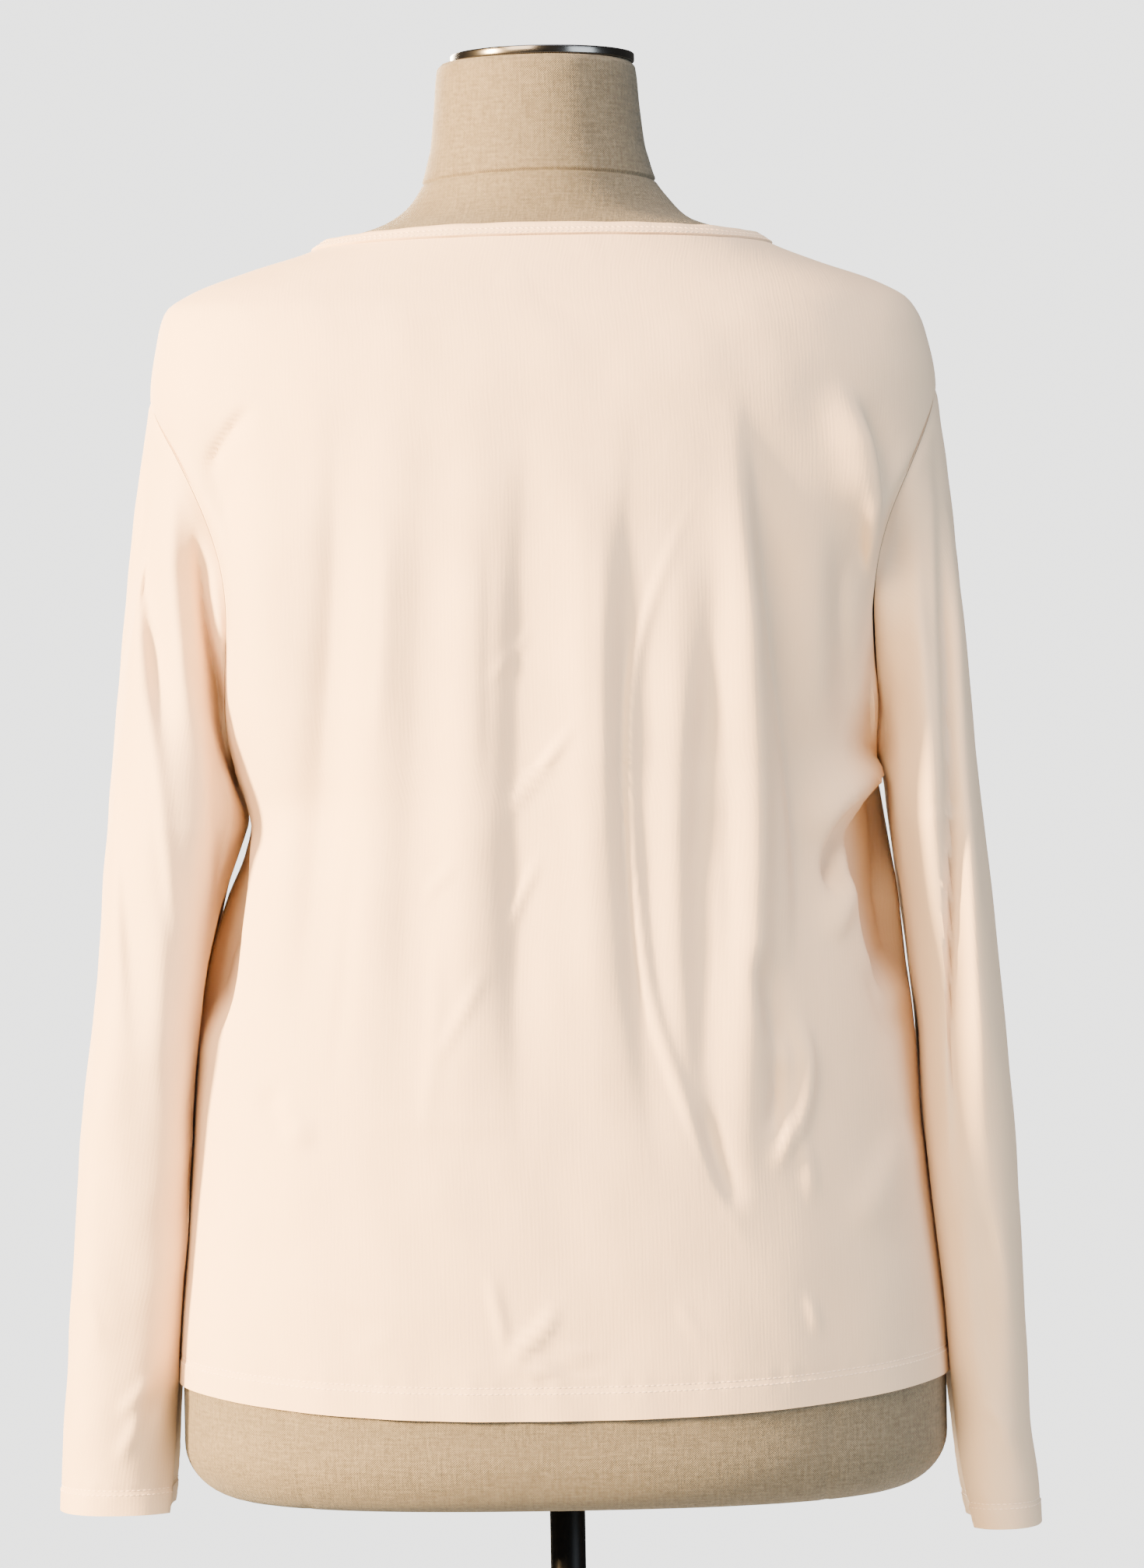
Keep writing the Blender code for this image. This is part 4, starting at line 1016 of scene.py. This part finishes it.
def edit(piece):
    """Starts an edit of one piece, with none of its faces selected."""
    select_only(piece)
    bpy.ops.object.mode_set(mode="EDIT")
    bpy.ops.mesh.select_mode(type="FACE")
    bpy.ops.mesh.select_all(action="DESELECT")


def pick_faces(piece, test):
    """Selects the faces of the edited piece that pass a test."""
    shape = bmesh.from_edit_mesh(piece.data)
    for face in shape.faces:
        face.select_set(bool(test(face)))
    bmesh.update_edit_mesh(piece.data)


def round_stock(name, radius, low, high, sides, finish):
    """A round bar or disc that stands on the vertical axis, with its place in its mesh."""
    bpy.ops.object.select_all(action="DESELECT")
    bpy.ops.mesh.primitive_cylinder_add(vertices=sides, radius=radius, depth=high - low,
                                        location=(0, 0, (low + high) / 2))
    piece = bpy.context.object
    piece.name = piece.data.name = name
    piece.data.transform(piece.matrix_world)
    piece.matrix_world = Matrix.Identity(4)
    piece.data.materials.clear()
    piece.data.materials.append(finish)
    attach(piece, "root")
    return piece


def inset(steps):
    """Sets the picked faces in, step by step, each by a width and a depth."""
    for width, depth in steps:
        bpy.ops.mesh.inset(thickness=width, depth=depth)


def soften(piece, width, segments):
    """Rounds the sharp edges of a piece and shades it smooth."""
    bevel = piece.modifiers.new("Rounded edges", "BEVEL")
    bevel.width = width
    bevel.segments = segments
    bevel.limit_method = "ANGLE"
    bevel.angle_limit = BEVEL_SHARP
    bevel.harden_normals = False
    apply_modifiers(piece)
    piece.data.shade_smooth()
    piece.data.set_sharp_from_angle(angle=METAL_SHARP)


def neck_cap(finish):
    """The plate on the neck: a turned disc with a shallow step on top and a fine groove round its rim."""
    low = NECK_TOP + SEAM_GAP
    piece = round_stock("neck_cap", PLATE_RADIUS, low, low + PLATE_HIGH, PLATE_SIDES, finish)
    edit(piece)
    pick_faces(piece, lambda face: face.normal.z > 0.9)
    inset(PLATE_STEPS)
    bpy.ops.mesh.select_all(action="DESELECT")
    pick_faces(piece, lambda face: face.normal.z < -0.9)
    inset([(PLATE_LIP, 0)])
    bpy.ops.object.mode_set(mode="OBJECT")
    soften(piece, PLATE_EDGE, 3)
    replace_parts(piece, "neck_plate")


def pole(finish):
    """The pole, from the socket of the base to the bottom of the form."""
    piece = round_stock("pole", POLE_RADIUS, SOCKET_TOP + SEAM_GAP, FORM_BOTTOM - SEAM_GAP, POLE_SIDES,
                        finish)
    edit(piece)
    pick_faces(piece, lambda face: abs(face.normal.z) < 0.5)
    bpy.ops.mesh.subdivide(number_cuts=1)
    bpy.ops.object.mode_set(mode="OBJECT")
    soften(piece, POLE_EDGE, 2)
    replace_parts(piece, "stand_pole")


def floor_base(finish):
    """The round base: a plate with a rounded edge and a socket for the pole, in one casting."""
    piece = round_stock("floor_base", BASE_RADIUS, 0.0, BASE_HIGH, BASE_SIDES, finish)
    edit(piece)
    pick_faces(piece, lambda face: face.normal.z > 0.9)
    inset(BASE_STEPS)
    bpy.ops.mesh.extrude_region_move(TRANSFORM_OT_translate={"value": (0, 0, SOCKET_HIGH)})
    inset(SOCKET_STEPS)
    bpy.ops.object.mode_set(mode="OBJECT")
    soften(piece, BASE_EDGE, 4)
    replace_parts(piece, "stand_base")


def linear(code):
    """A colour given as an sRGB hex code, in linear light."""
    parts = [int(code[place : place + 2], 16) / 255 for place in (1, 3, 5)]
    return tuple(p / 12.92 if p <= 0.04045 else ((p + 0.055) / 1.055) ** 2.4 for p in parts) + (1,)


def feed(node, inputs):
    """Fills a node's inputs, by place or name: with a value, a socket, or a node whose result goes in."""
    for name, source in inputs.items():
        if isinstance(source, bpy.types.Node):
            source = next(socket for socket in source.outputs if socket.enabled)
        if isinstance(source, bpy.types.NodeSocket):
            node.id_data.links.new(source, node.inputs[name])
        else:
            node.inputs[name].default_value = source


def add(tree, kind, *inputs, **named):
    """Adds a node: its inputs in order or by their names, and its settings, in small letters, by theirs."""
    node = tree.nodes.new("ShaderNode" + kind)
    for name in [name for name in named if name.islower()]:
        setattr(node, name, named.pop(name))
    feed(node, dict(enumerate(inputs)))
    feed(node, named)
    return node


def new_finish(name):
    """A material with a Principled shader, its nodes and that shader."""
    finish = bpy.data.materials.new(name)
    finish.use_nodes = True
    return finish, finish.node_tree, finish.node_tree.nodes["Principled BSDF"]


def jersey_finish():
    """Viscose jersey: a fine, soft knit with a slight sheen, whose wales run up and down.

    To the eye it is smooth and matt, with faint upright streaks, and its edges glow a little in side light.
    """
    finish, tree, shader = new_finish("Fine viscose jersey")
    place = add(tree, "UVMap", uv_map="Cloth").outputs[0]
    across = add(tree, "SeparateXYZ", place).outputs[0]
    # real wales are 0.6 mm apart and would not show, so they are drawn 2 mm apart
    wander = add(tree, "TexNoise", Vector=place, Scale=1 / WALE_BENDS, Detail=1.0)
    shifted = add(tree, "Math", wander, 0.0012, across, operation="MULTIPLY_ADD")
    wales = add(tree, "Math", add(tree, "Math", shifted, 2 * pi / WALE_STEP, operation="MULTIPLY"),
                operation="SINE")
    stretched = add(tree, "Mapping", Vector=place, Scale=(1.0, 0.06, 1.0))
    streaks = add(tree, "TexNoise", Vector=stretched, Scale=1 / STREAK_STEP, Detail=2.0)
    fuzz = add(tree, "TexNoise", Vector=place, Scale=1 / FUZZ_STEP, Detail=2.0)
    drape = add(tree, "TexNoise", Vector=place, Scale=1 / HANDLING_STEP, Detail=3.0)
    half = add(tree, "Math", drape, 0.5, operation="MULTIPLY")
    tone = add(tree, "Math", streaks, 0.5, half, operation="MULTIPLY_ADD")
    colour = add(tree, "Mix", Factor=tone, A=linear(JERSEY_DARK), B=linear(JERSEY_LIGHT), data_type="RGBA")
    relief = add(tree, "Math", wales, 0.10, streaks, operation="MULTIPLY_ADD")
    relief = add(tree, "Math", fuzz, 0.5, relief, operation="MULTIPLY_ADD")
    knit = add(tree, "Bump", Strength=0.22, Distance=0.0004, Height=relief)
    soft = add(tree, "Bump", Strength=0.35, Distance=0.0012, Height=drape, Normal=knit)
    feed(shader, {"Base Color": colour, "Normal": soft, "Roughness": 0.78, "Specular IOR Level": 0.25,
                  "Sheen Weight": 0.12, "Sheen Roughness": 0.45, "Sheen Tint": linear(SHEEN_TINT)})
    return finish


def linen_finish():
    """Unbleached linen canvas: a plain weave of uneven, slubby threads, stretched over the form.

    To the eye it is a dull grey brown, flecked and barred by its slubs, with a low gleam in side light.
    """
    finish, tree, shader = new_finish("Natural linen canvas")
    place = add(tree, "UVMap", uv_map="Cloth").outputs[0]
    parts = add(tree, "SeparateXYZ", place)
    wander = add(tree, "TexNoise", Vector=place, Scale=1 / THREAD_BENDS, Detail=2.0)
    # real threads are 0.9 mm apart: drawn at 1.25 mm, which is as fine as the picture can show
    threads = []
    for along, shift in ((parts.outputs[0], 0.0011), (parts.outputs[1], -0.0011)):
        along = add(tree, "Math", wander, shift, along, operation="MULTIPLY_ADD")
        along = add(tree, "Math", along, 2 * pi / THREAD_STEP, operation="MULTIPLY")
        threads.append(add(tree, "Math", along, operation="SINE"))
    weave = add(tree, "Math", *threads, operation="MULTIPLY")
    upright = add(tree, "Mapping", Vector=place, Scale=(1.0, 0.10, 1.0))
    level = add(tree, "Mapping", Vector=place, Scale=(0.10, 1.0, 1.0))
    warp_slubs = add(tree, "TexNoise", Vector=upright, Scale=1 / SLUB_STEP, Detail=2.0)
    weft_slubs = add(tree, "TexNoise", Vector=level, Scale=1 / SLUB_STEP, Detail=2.0)
    flecks = add(tree, "TexNoise", Vector=place, Scale=1 / FLECK_STEP, Detail=2.0)
    slubs = add(tree, "Math", warp_slubs, weft_slubs, operation="ADD")
    tone = add(tree, "Math", slubs, 0.5, -0.01, operation="MULTIPLY_ADD")
    tone = add(tree, "Math", weave, 0.36, tone, operation="MULTIPLY_ADD")
    specks = add(tree, "Math", flecks, 0.5, operation="SUBTRACT")
    tone = add(tree, "Math", specks, 0.7, tone, operation="MULTIPLY_ADD")
    ramp = add(tree, "ValToRGB", tone)
    stops = ramp.color_ramp.elements
    stops[0].position, stops[0].color = 0.25, linear(LINEN_DARK)
    stops[1].position, stops[1].color = 0.78, linear(LINEN_LIGHT)
    stops.new(0.5).color = linear(LINEN_MIDDLE)
    relief = add(tree, "Math", weave, 0.35, slubs, operation="MULTIPLY_ADD")
    bump = add(tree, "Bump", Strength=0.55, Distance=0.0006, Height=relief)
    feed(shader, {"Base Color": ramp, "Normal": bump, "Roughness": 0.68, "Specular IOR Level": 0.24,
                  "Sheen Weight": 0.10, "Sheen Roughness": 0.5})
    return finish


def metal_finish(name, code, roughness, bare, grain, grain_step):
    """A turned metal, or a coat on one: fine marks round it, and a haze from handling in its gloss.

    Bare plate mirrors its surroundings darkly, and a coat shows only a soft light on its edges.
    """
    finish, tree, shader = new_finish(name)
    place = add(tree, "TexCoord").outputs["Object"]
    rings = add(tree, "Mapping", Vector=place, Scale=(1.0, 1.0, 18.0))
    marks = add(tree, "TexNoise", Vector=rings, Scale=1 / grain_step, Detail=2.0)
    haze = add(tree, "TexNoise", Vector=place, Scale=1 / HAZE_STEP, Detail=3.0)
    worn = add(tree, "Math", haze, 0.16, roughness - 0.08, operation="MULTIPLY_ADD")
    gloss = add(tree, "Math", marks, 0.06, worn, operation="MULTIPLY_ADD")
    lighter = tuple(min(1, part * 1.25) for part in linear(code)[:3]) + (1,)
    colour = add(tree, "Mix", Factor=haze, A=linear(code), B=lighter, data_type="RGBA")
    bump = add(tree, "Bump", Strength=grain, Distance=0.0002, Height=marks)
    feed(shader, {"Base Color": colour, "Normal": bump, "Roughness": gloss, "Metallic": float(bare)})
    if not bare:
        feed(shader, {"Specular IOR Level": 0.09})
    return finish


def thread_finish():
    """Polyester sewing thread, a shade lighter than the jersey, whose twist flickers along each stitch."""
    finish, tree, shader = new_finish("Sewing thread")
    place = add(tree, "TexCoord").outputs["Object"]
    twist = add(tree, "TexNoise", Vector=place, Scale=1 / TWIST_STEP, Detail=1.0)
    colour = add(tree, "Mix", Factor=twist, A=linear(THREAD_DARK), B=linear(THREAD_LIGHT), data_type="RGBA")
    feed(shader, {"Base Color": colour, "Roughness": 0.6, "Sheen Weight": 0.1})
    return finish


def floor_finish():
    """Matt studio paint, even and pale, with a breath of dust that keeps it from looking like paper."""
    finish, tree, shader = new_finish("Matt studio floor")
    place = add(tree, "TexCoord").outputs["Object"]
    dust = add(tree, "TexNoise", Vector=place, Scale=1 / DUST_STEP, Detail=3.0)
    colour = add(tree, "Mix", Factor=dust, A=linear(FLOOR_DARK), B=linear(FLOOR_LIGHT), data_type="RGBA")
    feed(shader, {"Base Color": colour, "Roughness": 0.9})
    return finish


def stage():
    """A pale floor, and a pale room that is brighter to the eye than the light it gives."""
    bpy.ops.object.select_all(action="DESELECT")
    bpy.ops.mesh.primitive_circle_add(vertices=FLOOR_SIDES, radius=FLOOR_RADIUS, fill_type="NGON")
    floor = bpy.context.object
    floor.name = floor.data.name = "studio_floor"
    floor.data.materials.append(floor_finish())
    world = bpy.data.worlds.new("Studio")
    world.use_nodes = True
    tree = world.node_tree
    tree.nodes.clear()
    seen = add(tree, "Background", Color=linear(BACKDROP), Strength=BACKDROP_STRENGTH)
    given = add(tree, "Background", Color=linear(ROOM), Strength=ROOM_STRENGTH)
    ray = add(tree, "LightPath")
    both = add(tree, "MixShader", ray.outputs["Is Camera Ray"], given, seen)
    add(tree, "OutputWorld", Surface=both)
    bpy.context.scene.world = world


def softbox(name, place, size, power, colour):
    """A soft light at a place, turned to the middle of the shirt."""
    light = bpy.data.lights.new(name, "AREA")
    light.shape = "RECTANGLE"
    light.size, light.size_y = size
    light.energy = power
    light.color = colour
    lamp = bpy.data.objects.new(name, light)
    lamp.location = place
    lamp.rotation_euler = (Vector(LIT_PLACE) - Vector(place)).to_track_quat("-Z", "Y").to_euler()
    bpy.context.scene.collection.objects.link(lamp)


def camera():
    """The photograph's view: straight on from behind, level, and rolled by one degree."""
    lens = bpy.data.cameras.new("Camera")
    lens.sensor_fit = "VERTICAL"
    lens.sensor_height = FILM_HEIGHT
    lens.lens = LENS
    eye = bpy.data.objects.new("Camera", lens)
    right = Vector((-cos(CAMERA_ROLL), 0, -sin(CAMERA_ROLL)))
    up = Vector((-sin(CAMERA_ROLL), 0, cos(CAMERA_ROLL)))
    turn = Matrix((right, up, Vector((0, 1, 0)))).transposed().to_4x4()
    turn.translation = Vector(CAMERA_PLACE)
    eye.matrix_world = turn
    bpy.context.scene.collection.objects.link(eye)
    bpy.context.scene.camera = eye


def sew(jersey, thread):
    """The shirt, with its stitches."""
    back, back_lengths = panel_grid(0, BACK_COLUMNS, BACK_FOLDS, seed=3)
    front, front_lengths = panel_grid(pi, FRONT_COLUMNS, FRONT_FOLDS, seed=8)
    loops = armhole_loops(back, front)
    left, left_lengths = sleeve_grid(SLEEVE_LEFT, 1, loops["left"], LEFT_BACK_FOLDS, LEFT_FRONT_FOLDS,
                                     LEFT_PUFF, seed=5)
    right, right_lengths = sleeve_grid(SLEEVE_RIGHT, -1, loops["right"], RIGHT_BACK_FOLDS, RIGHT_FRONT_FOLDS,
                                       RIGHT_PUFF, seed=6)
    back[..., 1] += crease_shift(back)
    binding, binding_lengths = binding_grid()
    stitch = one_stitch()
    panels = {
        "back": cloth("back", back, back_lengths, jersey, JERSEY, outward=True),
        "front": cloth("front", front, front_lengths, jersey, JERSEY, outward=True),
        "left": cloth("left_sleeve", left, left_lengths, jersey, JERSEY, outward=False, closed=True),
        "right": cloth("right_sleeve", right, right_lengths, jersey, JERSEY, outward=False, closed=True),
        "edge": cloth("neck_edge", binding, binding_lengths, jersey, BINDING, outward=True, closed=True),
    }
    for key, node in (("back", "back_panel"), ("front", "front_panel"), ("left", "sleeve_left"),
                      ("right", "sleeve_right"), ("edge", "neck_binding")):
        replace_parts(panels[key], node)

    levels = panel_levels()
    threads = {}
    for key, grid in (("back", back), ("front", front)):
        normals = normals_of(grid)
        rows = []
        for drop in (TOP_ROW, HEM_SECOND_ROW):
            line, facing = line_on_cloth(grid, normals, row_of(levels, HEM + HEM_DEPTH - drop), closed=False)
            rows.append((line[2:-2], facing[2:-2], JERSEY + STITCH_SINK, 0))
        threads[key] = thread_piece(key + "_hem_stitches", rows, thread, stitch)
    for key, grid, table in (("left", left, SLEEVE_LEFT), ("right", right, SLEEVE_RIGHT)):
        normals = normals_of(grid, closed=True)
        heights = grid[:, :, 2].mean(axis=1)[::-1]
        rows = []
        for drop in (TOP_ROW, CUFF_SECOND_ROW):
            row = len(grid) - 1 - row_of(heights, table[-1].height + (CUFF_DEPTH - drop))
            line, facing = line_on_cloth(grid, normals, row, closed=True)
            rows.append((line, facing, STITCH_SINK, 0))
        threads[key] = thread_piece(key + "_cuff_stitches", rows, thread, stitch)
    normals = normals_of(binding, closed=True)
    rows = []
    for share, slant in NECK_ROWS:
        line, facing = line_on_cloth(binding, normals, share * BINDING_ROWS, closed=True)
        rows.append((line, facing, BINDING + STITCH_SINK, slant))
    threads["edge"] = thread_piece("neck_stitches", rows, thread, stitch)
    return panels, threads


def linen_form(finish):
    """The dress form in one skin, closed at its bottom and at its neck."""
    points, lengths = form_grid()
    mesh = shell_mesh("linen_form", points, lengths, closed=True)
    shape = bmesh.new()
    shape.from_mesh(mesh)
    bmesh.ops.holes_fill(shape, edges=[edge for edge in shape.edges if edge.is_boundary])
    shape.to_mesh(mesh)
    shape.free()
    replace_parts(add_piece("linen_form", mesh, finish), "dress_form")


def main():
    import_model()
    camera()
    jersey = jersey_finish()
    thread = thread_finish()
    panels, threads = sew(jersey, thread)
    linen_form(linen_finish())
    neck_cap(metal_finish("Dark chrome plate", PLATE_COLOUR, roughness=0.20, bare=True, grain=0.05,
                          grain_step=TURNING_STEP))
    pole(metal_finish("Black satin enamel on steel", POLE_COLOUR, roughness=0.34, bare=False, grain=0.01,
                      grain_step=COAT_STEP))
    floor_base(metal_finish("Black powder coat on steel", BASE_COLOUR, roughness=0.84, bare=False, grain=0.05,
                            grain_step=COAT_STEP))

    stage()
    for light in LIGHTS:
        softbox(*light)


main()
